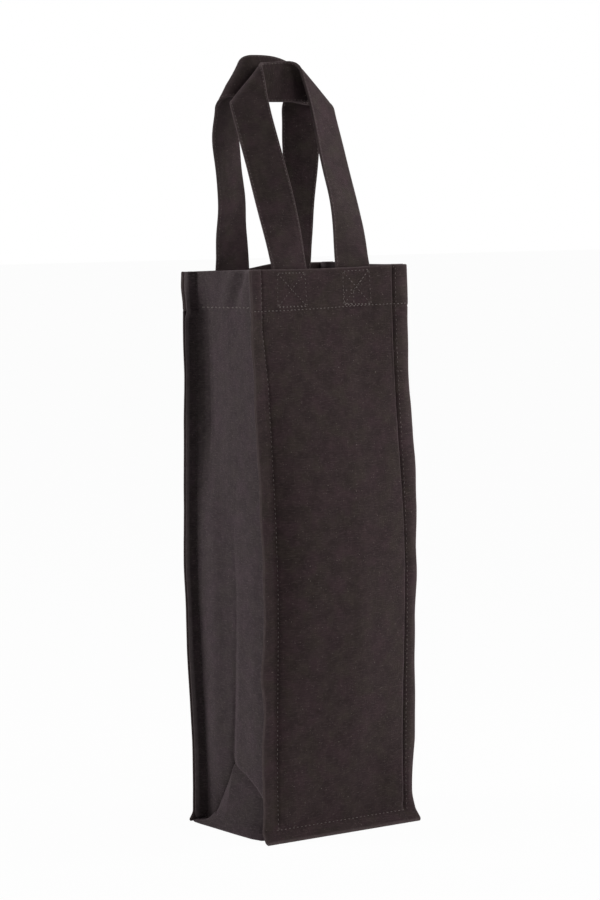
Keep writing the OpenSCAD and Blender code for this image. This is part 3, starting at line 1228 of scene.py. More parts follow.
    def low_row(
        self, side: float, centre_x: float, centre_z: float, turn: float,
        web_x: Array, web_z: Array, v: Array,
    ) -> Array:
        """Return one row of the base or of its turn.

        Args:
            side: -1 for the left half, 1 for the right half.
            centre_x: place of the seam corner, outwards from the middle.
            centre_z: height of the seam corner.
            turn: angle by which the seam allowance has turned down.
            web_x: places of the web's points, outwards from the middle.
            web_z: heights of the web's points.
            v: places of the web's points across the strip.

        Returns:
            The row's points.
        """
        form, first = self.form, self.first
        size = lerp(self.tip_x - self.wall_x, centre_z - 0.95, math.sin(turn) ** 2) * self.reach
        x = side * (centre_x + size * math.cos(turn))
        z = centre_z - size * math.sin(turn)
        corners, tips, ends = [], [], []
        for face in Face:
            rate = form.slope(x, z, face)
            shift = first * rate / np.sqrt(1 + rate * rate)
            slanting = z < form.upright_above
            points = form.under(x, np.where(slanting, z - shift, z), face, first)
            points[:, 0] += side * form.edge_shift(x, z, face)
            tips.append(points)
            corner = form.under(side * centre_x, centre_z, face, first)
            corners.append(np.array([corner[0], corner[1], centre_z]))
            against = form.under(side * web_x, np.maximum(web_z, 0.8), face, first)[:, 1]
            ends.append(lerp(corner[1], against, smooth(0.5, 3.0, web_x - centre_x)))
        web = np.stack([side * web_x, lerp(*ends, (v + 1) / 2), web_z], -1)
        return self.assemble(corners, tips, web)

    def half(self, side: float) -> list[Array]:
        """Return the rows of one side, from its hem's inner edge down to the base.

        Args:
            side: -1 for the left side, 1 for the right one.

        Returns:
            The rows.
        """
        form, s = self.form, self.form.sizes
        top = form.rim_base
        rows = [self.side_row(z, side, 1.0) for z in np.linspace(s.hem_base + 0.3, top, 15)]
        for turn in np.linspace(0, math.pi, 8)[1:-1]:
            inner = (1 + math.cos(turn)) / 2
            rows.append(self.side_row(top, side, inner, form.rim_radius * math.sin(turn)))
        levels = np.concatenate([
            np.linspace(top, s.hem_base + 3, 13),
            np.arange(s.hem_base + 2.4, s.hem_base - 6, -0.7),
            np.arange(s.hem_base - 7, s.crease_split_height + 5, -2.0),
            np.arange(s.crease_split_height + 4, self.foot_top, -0.8),
            [self.foot_top],
        ])
        return rows + [self.side_row(z, side, 0.0) for z in levels] + self.foot(side)

    def base(self, left: Array, right: Array) -> list[Array]:
        """Return the rows of the base.

        Args:
            left: the last row of the left side.
            right: the last row of the right side.

        Returns:
            The rows between them.
        """
        form, v = self.form, self.foot_places()
        low = self.base_height(v * (form.sizes.base_depth / 2 - form.thick / 2 - form.layer))
        margin = self.flange_columns + self.corner_points
        first, last = (row[margin:-margin, 0] for row in (left, right))
        rows = []
        for share in np.linspace(0, 1, self.base_rows + 2)[1:-1]:
            place = (self.wall_x - self.base_inset) * (1 - 2 * share)
            side = -1.0 if place > 0 else 1.0
            x = lerp(first, last, share)
            sag = self.base_sag * np.abs(form.web_sag[1.0](x, v * 30))
            z = low + sag * smooth(1.0, 0.7, np.abs(v))
            rows.append(self.low_row(side, abs(place), self.seam_z, math.pi / 2, x * side, z, v))
        return rows

    def layer(self) -> ClothLayer:
        """Return the strip's cloth, from the left hem round the base to the right hem."""
        left, right = self.half(-1.0), self.half(1.0)
        points = np.array(left + self.base(left[-1], right[-1]) + right[::-1])
        count, z, height = points.shape[1], points[..., 2], self.form.sizes.height
        tips = np.zeros(count)
        tips[:2] = tips[-2:] = 1.0
        wear = np.maximum(tips, self.rim_wear * smooth(height - 1.0, height - 0.3, z))
        crease = hill(np.arange(count), (count - 1) / 2, 1.0) * smooth(40, 60, z)
        wear = np.maximum(wear, self.crease_wear * crease * smooth(300, 250, z))
        return ClothLayer.woven(points, self.form.thick, wear)


@dataclass(frozen=True)
class LoopSizes:
    """Sizes of one handle's loop, as the part's source names them; angles in radians."""

    rise: float
    angle: float
    turn: float
    straight: float
    bend_radius: float
    lean: float
    side_lean: float
    shift: float
    left_bow: float
    right_bow: float
    nudges: tuple[tuple[float, ...], ...] = ()


FRONT_LOOP = LoopSizes(
    rise=119.5, angle=math.radians(47.2), turn=math.radians(156.9), straight=56.0, bend_radius=60.0,
    lean=math.radians(5.2), side_lean=math.radians(0.2), shift=-3.2, left_bow=-0.4, right_bow=-2.1,
    nudges=((-43, 452, 20, 1.0, -0.1), (-20, 478, 20, 3.4, -0.3), (-38, 418, 24, 1.1, 0.0),
            (34, 448, 20, -2.2, 0.0), (31, 405, 24, 0.5, 0.0), (14, 478, 18, -3.3, 1.0)),
)
BACK_LOOP = LoopSizes(
    rise=114.1, angle=math.radians(48.9), turn=math.radians(150.0), straight=41.5, bend_radius=90.0,
    lean=math.radians(-10.0), side_lean=math.radians(4.3), shift=2.3, left_bow=9.0, right_bow=0.6,
    nudges=((-36, 476, 24, 8.1, 0.6), (-44, 452, 22, 2.5, -0.6), (-42, 424, 20, -2.9, 0.1),
            (0, 482, 24, 4.1, 2.2), (26, 476, 24, 0.3, -9.3), (-33, 395, 20, 1.0, 0.0),
            (15, 457, 11, -2.2, 0.0), (18, 416, 15, 2.8, 0.0)),
)


@dataclass
class StrapHandle:
    """A strap folded softly across both upper corners, with its ends sewn inside the rim."""

    form: BagForm
    face: Face
    body: str
    loop: LoopSizes
    width: float = 25.0
    thick: float = 1.8
    leg_spacing: float = 46.5
    radius: float = 4.5
    square_up: float = 25.0
    swing_gap: float = 0.4
    settle: float = 9.0
    slump_start: Pair = (12.0, 42.0)
    sewn_margin: float = 3.0
    end_margin: float = 0.9
    step: float = 1.15
    columns: int = 19
    unevenness: float = 0.45
    crown: float = 0.22
    edge_groove: float = 0.16
    end_press: float = 0.08
    wear: float = 0.35
    seed: int = 5

    def __post_init__(self) -> None:
        """Work out where the folds and bends lie along the strap."""
        loop, half = self.loop, self.leg_spacing / 2
        sin_a, cos_a = math.sin(loop.angle), math.cos(loop.angle)
        self.reach = loop.rise * math.tan(loop.angle) + half
        across = (half - self.reach * math.cos(2 * loop.angle)) / sin_a
        fold, bend = self.radius * loop.turn, loop.bend_radius * (math.pi - loop.turn)
        self.fold_start = (
            across - fold - self.radius * math.sin(loop.turn)
            - loop.straight * (1 + math.cos(loop.turn)) - bend
            + loop.bend_radius * math.sin(loop.turn)
        ) / 2
        self.fold_end = self.fold_start + fold
        self.bend_start = self.fold_end + loop.straight
        self.bend_end = self.bend_start + bend
        self.along_dir = np.array([cos_a, 0.0, -sin_a])
        self.over_dir = np.array([sin_a, 0.0, cos_a])
        self.ripple = Ripple(self.seed, 46.0)

    def place(self, p: Array) -> tuple[Array, Array]:
        """Follow the strap across its folds.

        Args:
            p: distances across the fold lines.

        Returns:
            The place along and behind the top band's plane.
        """
        turn, straight, wide = self.loop.turn, self.loop.straight, self.loop.bend_radius
        t = np.where(p <= self.fold_start, 0.0, (p - self.fold_start) / self.radius)
        t = np.where(p > self.fold_end, turn, t)
        t = np.where(p > self.bend_start, turn + (p - self.bend_start) / wide, t)
        t = np.minimum(t, math.pi)
        first, late = np.minimum(t, turn), np.maximum(t, turn)
        run = np.clip(p - self.fold_end, 0, straight)
        along = np.minimum(p, self.fold_start) + self.radius * np.sin(first) + run * math.cos(turn)
        behind = self.radius * (1 - np.cos(first)) + run * math.sin(turn)
        along = along + wide * (np.sin(late) - math.sin(turn)) - np.maximum(p - self.bend_end, 0)
        return along, behind + wide * (math.cos(turn) - np.cos(late))

    def half_strip(self, s: Array, w: Array) -> Array:
        """Return points of the strap's middle surface at s >= 0 along it and w across it.

        Args:
            s: places along the strap.
            w: places across the strap.

        Returns:
            Points.
        """
        angle = self.loop.angle
        a = s * math.cos(angle) - w * math.sin(angle)
        along, behind = self.place(s * math.sin(angle) + w * math.cos(angle))
        point = a[..., None] * self.along_dir + along[..., None] * self.over_dir
        level = np.maximum(0, 1 - (self.reach - s) / self.square_up) ** 2
        point[..., 1] -= behind
        point[..., 2] += w * math.cos(2 * angle) * level
        return point

    def loop_point(self, s: Array, w: Array) -> Array:
        """Return points of the free loop, placed on the rim.

        Args:
            s: places along the strap.
            w: places across the strap.

        Returns:
            Points.
        """
        sizes, loop = self.form.sizes, self.loop
        strap_y = sizes.rim_depth / 2 - 2 * sizes.cloth - self.swing_gap - self.thick / 2
        h = self.half_strip(np.abs(s), w)
        foot = self.half_strip(np.array([self.reach]), np.array([0.0]))[0]
        x = h[..., 0] * np.where(s < 0, -1, 1)
        y0, z0 = h[..., 1] - foot[1], h[..., 2] - foot[2]
        y = y0 * math.cos(loop.lean) + z0 * math.sin(loop.lean)
        z = z0 * math.cos(loop.lean) - y0 * math.sin(loop.lean)
        bow = lerp(loop.left_bow, loop.right_bow, smooth(-self.width / 2, self.width / 2, s))
        x = x + loop.shift - z * math.tan(loop.side_lean)
        x = x + bow * np.sin(np.clip(z / loop.rise, 0, 1) * math.pi)
        y = -self.face.value * (y - strap_y)
        return self.settled(np.stack([x, y, z + sizes.height + self.swing_gap], -1))

    def settled(self, points: Array) -> Array:
        """Return points of the loop with its corners slumped as they are in use.

        Args:
            points: points of the evenly folded loop.

        Returns:
            The points, each moved by the nudges (x, z, reach, move in x, move in z) near it.
        """
        x, z = points[..., 0], points[..., 2]
        moved = points.copy()
        low, high = self.slump_start
        free = smooth(self.form.sizes.height + low, self.form.sizes.height + high, z)
        for at_x, at_z, reach, push_x, push_z in self.loop.nudges:
            near = np.exp(-((x - at_x) ** 2 + (z - at_z) ** 2) / reach**2) * free
            moved[..., 0] += push_x * near
            moved[..., 2] += push_z * near
        return moved

    def end_point(self, s: Array, w: Array) -> Array:
        """Return points of the sewn ends, flat against the inside of the hem.

        Args:
            s: places along the strap.
            w: places across the strap.

        Returns:
            Points.
        """
        sizes = self.form.sizes
        drop = np.abs(s) - self.reach
        leg = np.sign(s) * self.leg_spacing / 2
        x = self.loop.shift + leg - w * np.where(s < 0, -1, 1)
        z = sizes.height + self.swing_gap - drop
        depth = 2 * self.form.layer + 0.06 + self.thick / 2
        face_z = np.clip(z, sizes.hem_base, sizes.height - 1.0)
        points = self.form.under(x, face_z, self.face, depth)
        points[..., 2] = z
        return points

    def whole_point(self, s: Array, w: Array) -> Array:
        """Return points of the whole strap: its loop, its sewn ends and an even bend between.

        Args:
            s: places along the strap.
            w: places across the strap.

        Returns:
            Points.
        """
        inner, outer = self.reach - self.settle, self.reach + self.swing_gap + self.sewn_margin
        size, sign, small, span = np.abs(s), np.sign(s), 0.5, outer - inner
        loop = self.loop_point(np.clip(s, -inner, inner), w)
        sewn = self.end_point(sign * np.maximum(size, outer), w)
        a, b = self.loop_point(sign * inner, w), self.end_point(sign * outer, w)
        slope_a = (a - self.loop_point(sign * (inner - small), w)) / small * span
        slope_b = (self.end_point(sign * (outer + small), w) - b) / small * span
        t = np.clip((size - inner) / span, 0, 1)[..., None]
        bend = (
            (2 * t**3 - 3 * t**2 + 1) * a + (t**3 - 2 * t**2 + t) * slope_a
            + (3 * t**2 - 2 * t**3) * b + (t**3 - t**2) * slope_b
        )
        points = np.where((size <= inner)[..., None], loop, bend)
        return np.where((size >= outer)[..., None], sewn, points)

    def layer(self) -> ClothLayer:
        """Return the whole strap, from one sewn end over the loop to the other."""
        half, edge = self.width / 2, max(out for out, _ in Edge.FOLDED.value) * self.thick / 2
        w = np.linspace(-half + edge, half - edge, self.columns)
        end = self.reach + self.swing_gap + self.form.sizes.hem_height - self.end_margin - edge
        s = np.linspace(-end, end, int(2 * end / self.step))
        grid_s, grid_w = np.meshgrid(s, w, indexing="ij")
        away = np.abs(grid_w)
        points = self.whole_point(grid_s, grid_w)
        normal = ClothLayer.woven(points, self.thick, np.zeros(grid_s.shape)).normals()
        free = smooth(self.reach - 4, self.reach - 30, np.abs(grid_s))
        lift = self.unevenness * self.ripple(grid_w * 0.4, grid_s) * free
        crown = self.crown * (1 - (grid_w / half) ** 2) * free
        groove = self.edge_groove * hill(away, half - 2.0, 0.75)
        thick = self.thick * (1 - groove - self.end_press * (1 - free))
        wear = self.wear * smooth(half - 1.5, half - 0.8, away)
        points = points + normal * (lift - crown)[..., None]
        return ClothLayer(points, w, s, thick, wear, Edge.FOLDED)


@dataclass(frozen=True)
class Finish:
    """A canvas finish: its colours, and how strongly each effect shows in it."""

    name: str
    base: Triple
    warm: Triple
    cool: Triple
    lint: Triple = (0.15, 0.12, 0.11)
    pitch: float = 0.00055
    roughness: float = 0.95
    specular: float = 0.12
    sheen: float = 0.15
    sheen_roughness: float = 0.5
    sheen_tint: Triple = (0.9, 0.7, 0.78)
    slub_strength: float = 1.0
    warm_share: float = 0.65
    cool_share: float = 0.6
    weave_hollow_shade: float = 0.2
    cloud_shade: float = 0.55
    slub_shade: float = 0.26
    slub_light: float = 0.42
    dark_tint: float = 0.45
    light_tint: Pair = (1.6, 0.004)
    worn_tint: Pair = (1.7, 0.028)
    weave_height: float = 0.5
    slub_height: float = 0.9
    lint_height: float = 1.2
    bump: float = 0.65
    bump_distance: float = 0.00018

    def tinted(self, times: float, more: float = 0.0) -> tuple[float, ...]:
        """Return the base colour, lighter or darker."""
        return tuple(times * part + more for part in self.base)


@dataclass(frozen=True)
class ThreadFinish:
    """A finish of sewing thread, with a painted highlight along the crests of its twist."""

    name: str
    colour: Triple
    dark: float = 0.5
    light: float = 1.35
    crest_highlight_share: float = 0.4
    twist: Pair = (9000.0, 5200.0)
    bump: float = 0.6
    bump_distance: float = 0.0001
    roughness: float = 0.75
    specular: float = 0.25
    sheen: float = 0.2

    def tinted(self, times: float) -> tuple[float, ...]:
        """Return the colour, lighter or darker."""
        return tuple(times * part for part in self.colour)


class NodeTree:
    """Short calls that place and join shader nodes."""

    def __init__(self, tree: bpy.types.NodeTree) -> None:
        """Keep the tree that is being filled."""
        self.tree = tree

    def feed(self, socket: Socket, value: object) -> None:
        """Link a socket to an input, or set the input's value.

        Args:
            socket: the input.
            value: a socket or a value.
        """
        if isinstance(value, Socket):
            self.tree.links.new(value, socket)
        else:
            socket.default_value = value

    def add(self, kind: str, inputs: dict | None = None, **settings: object) -> bpy.types.Node:
        """Place a node.

        Args:
            kind: the node's type.
            inputs: values or sockets for its inputs, by name or number.
            settings: attributes of the node.

        Returns:
            The new node.
        """
        node = self.tree.nodes.new(kind)
        for key, value in settings.items():
            setattr(node, key, value)
        for key, value in (inputs or {}).items():
            self.feed(node.inputs[key], value)
        return node

    def math(self, operation: str, *values: object) -> Socket:
        """Return the result of a maths node on values or sockets."""
        node = self.add("ShaderNodeMath", dict(enumerate(values)), operation=operation)
        return node.outputs[0]

    def times(self, a: object, b: object) -> Socket:
        """Return the product of two values or sockets."""
        return self.math("MULTIPLY", a, b)

    def mix(self, share: object, a: object, b: object) -> Socket:
        """Return the mix of two colours.

        Args:
            share: share of the second.
            a: first colour.
            b: second colour.

        Returns:
            The output socket.
        """
        node = self.add("ShaderNodeMix", data_type="RGBA")
        sockets = {socket.identifier: socket for socket in node.inputs}
        for name, value in (("Factor_Float", share), ("A_Color", a), ("B_Color", b)):
            self.feed(sockets[name], (*value, 1.0) if isinstance(value, tuple) else value)
        return next(s for s in node.outputs if s.identifier == "Result_Color")

    def ramp(self, value: Socket, low: float, high: float) -> Socket:
        """Return value eased from 0 at low to 1 at high.

        Args:
            value: what is eased.
            low: where it leaves 0.
            high: where it reaches 1.

        Returns:
            The output socket.
        """
        inputs = {"Value": value, "From Min": low, "From Max": high}
        node = self.add("ShaderNodeMapRange", inputs, interpolation_type="SMOOTHSTEP")
        return node.outputs["Result"]

    def noise(self, place: Socket, scale: object, detail: float, **more: float) -> Socket:
        """Return smooth noise at place."""
        inputs = {"Vector": place, "Scale": scale, "Detail": detail, **more}
        return self.add("ShaderNodeTexNoise", inputs).outputs["Fac"]

    def stored(self, name: str, output: str) -> Socket:
        """Return an attribute that is stored on the mesh."""
        return self.add("ShaderNodeAttribute", attribute_name=name).outputs[output]


def blank_material(name: str) -> tuple[bpy.types.Material, NodeTree]:
    """Make a material with no nodes, and return it with its tree.

    Args:
        name: the material's name.

    Returns:
        The material and its tree.
    """
    material = bpy.data.materials.new(name)
    material.use_nodes = True
    material.node_tree.nodes.clear()
    return material, NodeTree(material.node_tree)


class EffectGroup:
    """Base of the shader node groups that several finishes share."""

    name = ""
    inputs: tuple = ()
    outputs: tuple = ()

    def __init__(self) -> None:
        """Build the group with its named inputs and outputs."""
        self.group = bpy.data.node_groups.new(self.name, "ShaderNodeTree")
        for label, kind, value in self.inputs:
            socket = self.group.interface.new_socket(label, in_out="INPUT", socket_type=kind)
            if value is not None:
                socket.default_value = value
        for label, kind in self.outputs:
            self.group.interface.new_socket(label, in_out="OUTPUT", socket_type=kind)
        self.nodes = NodeTree(self.group)
        self.given = self.group.nodes.new("NodeGroupInput").outputs
        results = self.make()
        self.nodes.add("NodeGroupOutput", results)

    def make(self) -> dict[str, Socket]:
        """Return the sockets that feed the outputs."""
        raise NotImplementedError

    def place(self, nodes: NodeTree, inputs: dict) -> bpy.types.bpy_prop_collection:
        """Place this group in a material with its own inputs, and return its outputs."""
        return nodes.add("ShaderNodeGroup", inputs, node_tree=self.group).outputs


class PlainWeave(EffectGroup):
    """Threads of a plain weave that pass over and under each other, with painted shade in the
    hollows between them.
    """

    name = "plain_weave"
    inputs = (("Cloth", "NodeSocketVector", None), ("Pitch", "NodeSocketFloat", 0.0005))
    outputs = (("Height", "NodeSocketFloat"), ("Thread Tone", "NodeSocketFloat"))

    def make(self) -> dict[str, Socket]:
        """Build the weave from two crossed waves."""
        n, cloth = self.nodes, self.given["Cloth"]
        jitter = n.noise(cloth, 420.0, 1.0)
        parts = n.add("ShaderNodeSeparateXYZ", {0: cloth}).outputs
        wobble = n.times(n.math("SUBTRACT", jitter, 0.5), 1.1)
        waves = []
        for part in (parts["X"], parts["Y"]):
            turns = n.math("ADD", n.math("DIVIDE", part, self.given["Pitch"]), wobble)
            waves.append(n.times(turns, math.pi))
        weft, warp = (n.math("SINE", wave) for wave in waves)
        over = n.times(weft, warp)
        ridge = n.times(n.math("ABSOLUTE", weft), n.math("ABSOLUTE", warp))
        height = n.math("ADD", n.times(over, 0.35), ridge)
        thread = n.noise(cloth, 1500.0, 2.0)
        # The second output is painted shade: lowest in the hollows between threads, varied by a
        # fine noise.
        return {"Height": height, "Thread Tone": n.times(height, n.math("ADD", thread, 0.5))}


class Slubs(EffectGroup):
    """Thicker places in the yarns: short streaks, mostly across the cloth."""

    name = "yarn_slubs"
    inputs = (("Cloth", "NodeSocketVector", None), ("Amount", "NodeSocketFloat", 0.5))
    outputs = tuple((label, "NodeSocketFloat") for label in ("Light", "Dark", "Height"))

    def streaks(self, scale: Triple, low: float, high: float) -> Socket:
        """Return streaks of noise stretched by scale, kept between low and high.

        Args:
            scale: stretch along each axis.
            low: least noise.
            high: most noise.

        Returns:
            The output socket.
        """
        n, inputs = self.nodes, {0: self.given["Cloth"], 1: scale}
        stretched = n.add("ShaderNodeVectorMath", inputs, operation="MULTIPLY").outputs[0]
        return n.ramp(n.noise(stretched, 1.0, 1.0), low, high)

    def make(self) -> dict[str, Socket]:
        """Build light and dark streaks across, and fewer along."""
        n, amount = self.nodes, self.given["Amount"]
        across = self.streaks((290.0, 1100.0, 40.0), 0.48, 0.78)
        along = self.streaks((1250.0, 260.0, 60.0), 0.52, 0.8)
        dark = self.streaks((260.0, 1150.0, 90.0), 0.52, 0.24)
        light = n.times(n.math("MAXIMUM", across, n.times(along, 0.6)), amount)
        return {"Light": light, "Dark": n.times(dark, amount), "Height": light}


class LintSpecks(EffectGroup):
    """Pale specks of lint and seed that sit on the cloth."""

    name = "lint_specks"
    inputs = (("Cloth", "NodeSocketVector", None), ("Spacing", "NodeSocketFloat", 0.004))
    outputs = (("Mask", "NodeSocketFloat"),)

    def make(self) -> dict[str, Socket]:
        """Keep the middle of a few cells of a cell pattern."""
        n = self.nodes
        masks = []
        for times, low, high, strength in ((1.0, 0.5, 0.62, 1.0), (2.3, 0.58, 0.7, 0.45)):
            size = n.math("DIVIDE", times, self.given["Spacing"])
            inputs = {"Vector": self.given["Cloth"], "Scale": size}
            cells = n.add("ShaderNodeTexVoronoi", inputs).outputs
            near = n.ramp(cells["Distance"], 0.11 * times, 0.05 * times)
            pick = n.add("ShaderNodeSeparateColor", {0: cells["Color"]}).outputs
            chosen = n.times(n.ramp(pick[0], low, high), strength)
            varied = n.math("ADD", 0.25, n.times(pick[1], 0.75))
            masks.append(n.times(n.times(near, chosen), varied))
        return {"Mask": n.math("MAXIMUM", *masks)}


class DyePatches(EffectGroup):
    """Slow drift of the dye between a warmer and a cooler tone."""

    name = "dye_patches"
    inputs = (("Cloth", "NodeSocketVector", None), ("Size", "NodeSocketFloat", 0.016))
    outputs = tuple((label, "NodeSocketFloat") for label in ("Warm", "Cool", "Cloud"))

    def make(self) -> dict[str, Socket]:
        """Build two slow noises and a finer cloud."""
        n, cloth = self.nodes, self.given["Cloth"]
        rate = n.math("DIVIDE", 1.0, self.given["Size"])
        fields = []
        for push in (0.0, 3.7):
            inputs = {0: cloth, 1: (push, push, push)}
            moved = n.add("ShaderNodeVectorMath", inputs, operation="ADD").outputs[0]
            fields.append(n.noise(moved, rate, 3.0))
        cloud = n.noise(cloth, 110.0, 3.0, Roughness=0.6)
        return {
            "Warm": n.ramp(fields[0], 0.44, 0.6), "Cool": n.ramp(fields[1], 0.46, 0.62),
            "Cloud": n.ramp(cloud, 0.3, 0.7),
        }


class EdgeWear(EffectGroup):
    """Rubbed, paler cloth along edges and folds, broken up by the weave."""

    name = "edge_wear"
    inputs = (("Cloth", "NodeSocketVector", None), ("Wear", "NodeSocketFloat", 0.0))
    outputs = (("Mask", "NodeSocketFloat"),)

    def make(self) -> dict[str, Socket]:
        """Break the stored wear up with noise."""
        n = self.nodes
        noise = n.noise(self.given["Cloth"], 330.0, 3.0)
        broken = n.math("ADD", n.times(noise, 0.9), 0.35)
        return {"Mask": n.times(self.given["Wear"], broken)}


class CanvasDresser:
    """Builds the canvas and thread materials from the shared effects."""

    def __init__(self) -> None:
        """Build the shared groups once."""
        self.weave, self.slubs, self.lint = PlainWeave(), Slubs(), LintSpecks()
        self.patches, self.wear = DyePatches(), EdgeWear()

    def canvas(self, finish: Finish) -> bpy.types.Material:
        """Make a canvas material.

        Args:
            finish: the finish's colours and strengths.

        Returns:
            The material.
        """
        material, n = blank_material(finish.name)
        cloth, worn = n.stored(CLOTH_COORDS, "Vector"), n.stored(WEAR, "Fac")
        weave = self.weave.place(n, {"Cloth": cloth, "Pitch": finish.pitch})
        slubs = self.slubs.place(n, {"Cloth": cloth, "Amount": finish.slub_strength})
        lint = self.lint.place(n, {"Cloth": cloth})["Mask"]
        patches = self.patches.place(n, {"Cloth": cloth})
        wear = self.wear.place(n, {"Cloth": cloth, "Wear": worn})["Mask"]
        colour = n.mix(n.times(patches["Warm"], finish.warm_share), finish.base, finish.warm)
        colour = n.mix(n.times(patches["Cool"], finish.cool_share), colour, finish.cool)
        # Painted shade in the weave's hollows, plus the dye's clouds and the dark slubs, darken the
        # colour.
        tone = n.times(n.math("SUBTRACT", 1.0, weave["Thread Tone"]), finish.weave_hollow_shade)
        tone = n.math("ADD", tone, n.times(patches["Cloud"], finish.cloud_shade))
        tone = n.math("ADD", tone, n.times(slubs["Dark"], finish.slub_shade))
        colour = n.mix(tone, colour, finish.tinted(finish.dark_tint))
        light = n.times(slubs["Light"], finish.slub_light)
        colour = n.mix(light, colour, finish.tinted(*finish.light_tint))
        colour = n.mix(wear, colour, finish.tinted(*finish.worn_tint))
        colour = n.mix(lint, colour, finish.lint)
        height = n.times(weave["Height"], finish.weave_height)
        height = n.math("ADD", height, n.times(slubs["Height"], finish.slub_height))
        height = n.math("ADD", height, n.times(lint, finish.lint_height))
        self.surface(n, finish, colour, height, {
            "Sheen Roughness": finish.sheen_roughness, "Sheen Tint": (*finish.sheen_tint, 1.0),
        })
        return material

    def surface(
        self, n: NodeTree, finish: Finish | ThreadFinish, colour: Socket, height: Socket, more: dict
    ) -> None:
        """Join colour and relief into a finished surface.

        Args:
            n: the material's tree.
            finish: the finish's strengths.
            colour: its colour.
            height: its relief.
            more: further inputs of the shader.
        """
        relief = {"Strength": finish.bump, "Distance": finish.bump_distance, "Height": height}
        bump = n.add("ShaderNodeBump", relief).outputs[0]
        shader = n.add("ShaderNodeBsdfPrincipled", {
            "Base Color": colour, "Roughness": finish.roughness,
            "Specular IOR Level": finish.specular, "Sheen Weight": finish.sheen, **more,
            "Normal": bump,
        })
        n.add("ShaderNodeOutputMaterial", {"Surface": shader.outputs[0]})

    def thread(self, finish: ThreadFinish) -> bpy.types.Material:
        """Make the material of the sewing thread.

        Args:
            finish: the thread's colour and strengths.

        Returns:
            The material.
        """
        material, n = blank_material(finish.name)
        cloth = n.stored(CLOTH_COORDS, "Vector")
        parts = n.add("ShaderNodeSeparateXYZ", {0: cloth}).outputs
        lay = [n.times(parts[k], turns) for k, turns in enumerate(finish.twist)]
        twist = n.ramp(n.math("SINE", n.math("ADD", *lay)), -0.9, 0.9)
        shade = n.ramp(n.noise(cloth, 160.0, 1.0), 0.32, 0.68)
        tint = n.mix(shade, finish.tinted(finish.dark), finish.colour)
        # Painted highlight: the thread is made lighter on the crests of its twist, where its bump
        # stands highest.
        share = n.times(twist, finish.crest_highlight_share)
        tint = n.mix(share, tint, finish.tinted(finish.light))
        self.surface(n, finish, tint, twist, {})
        return material


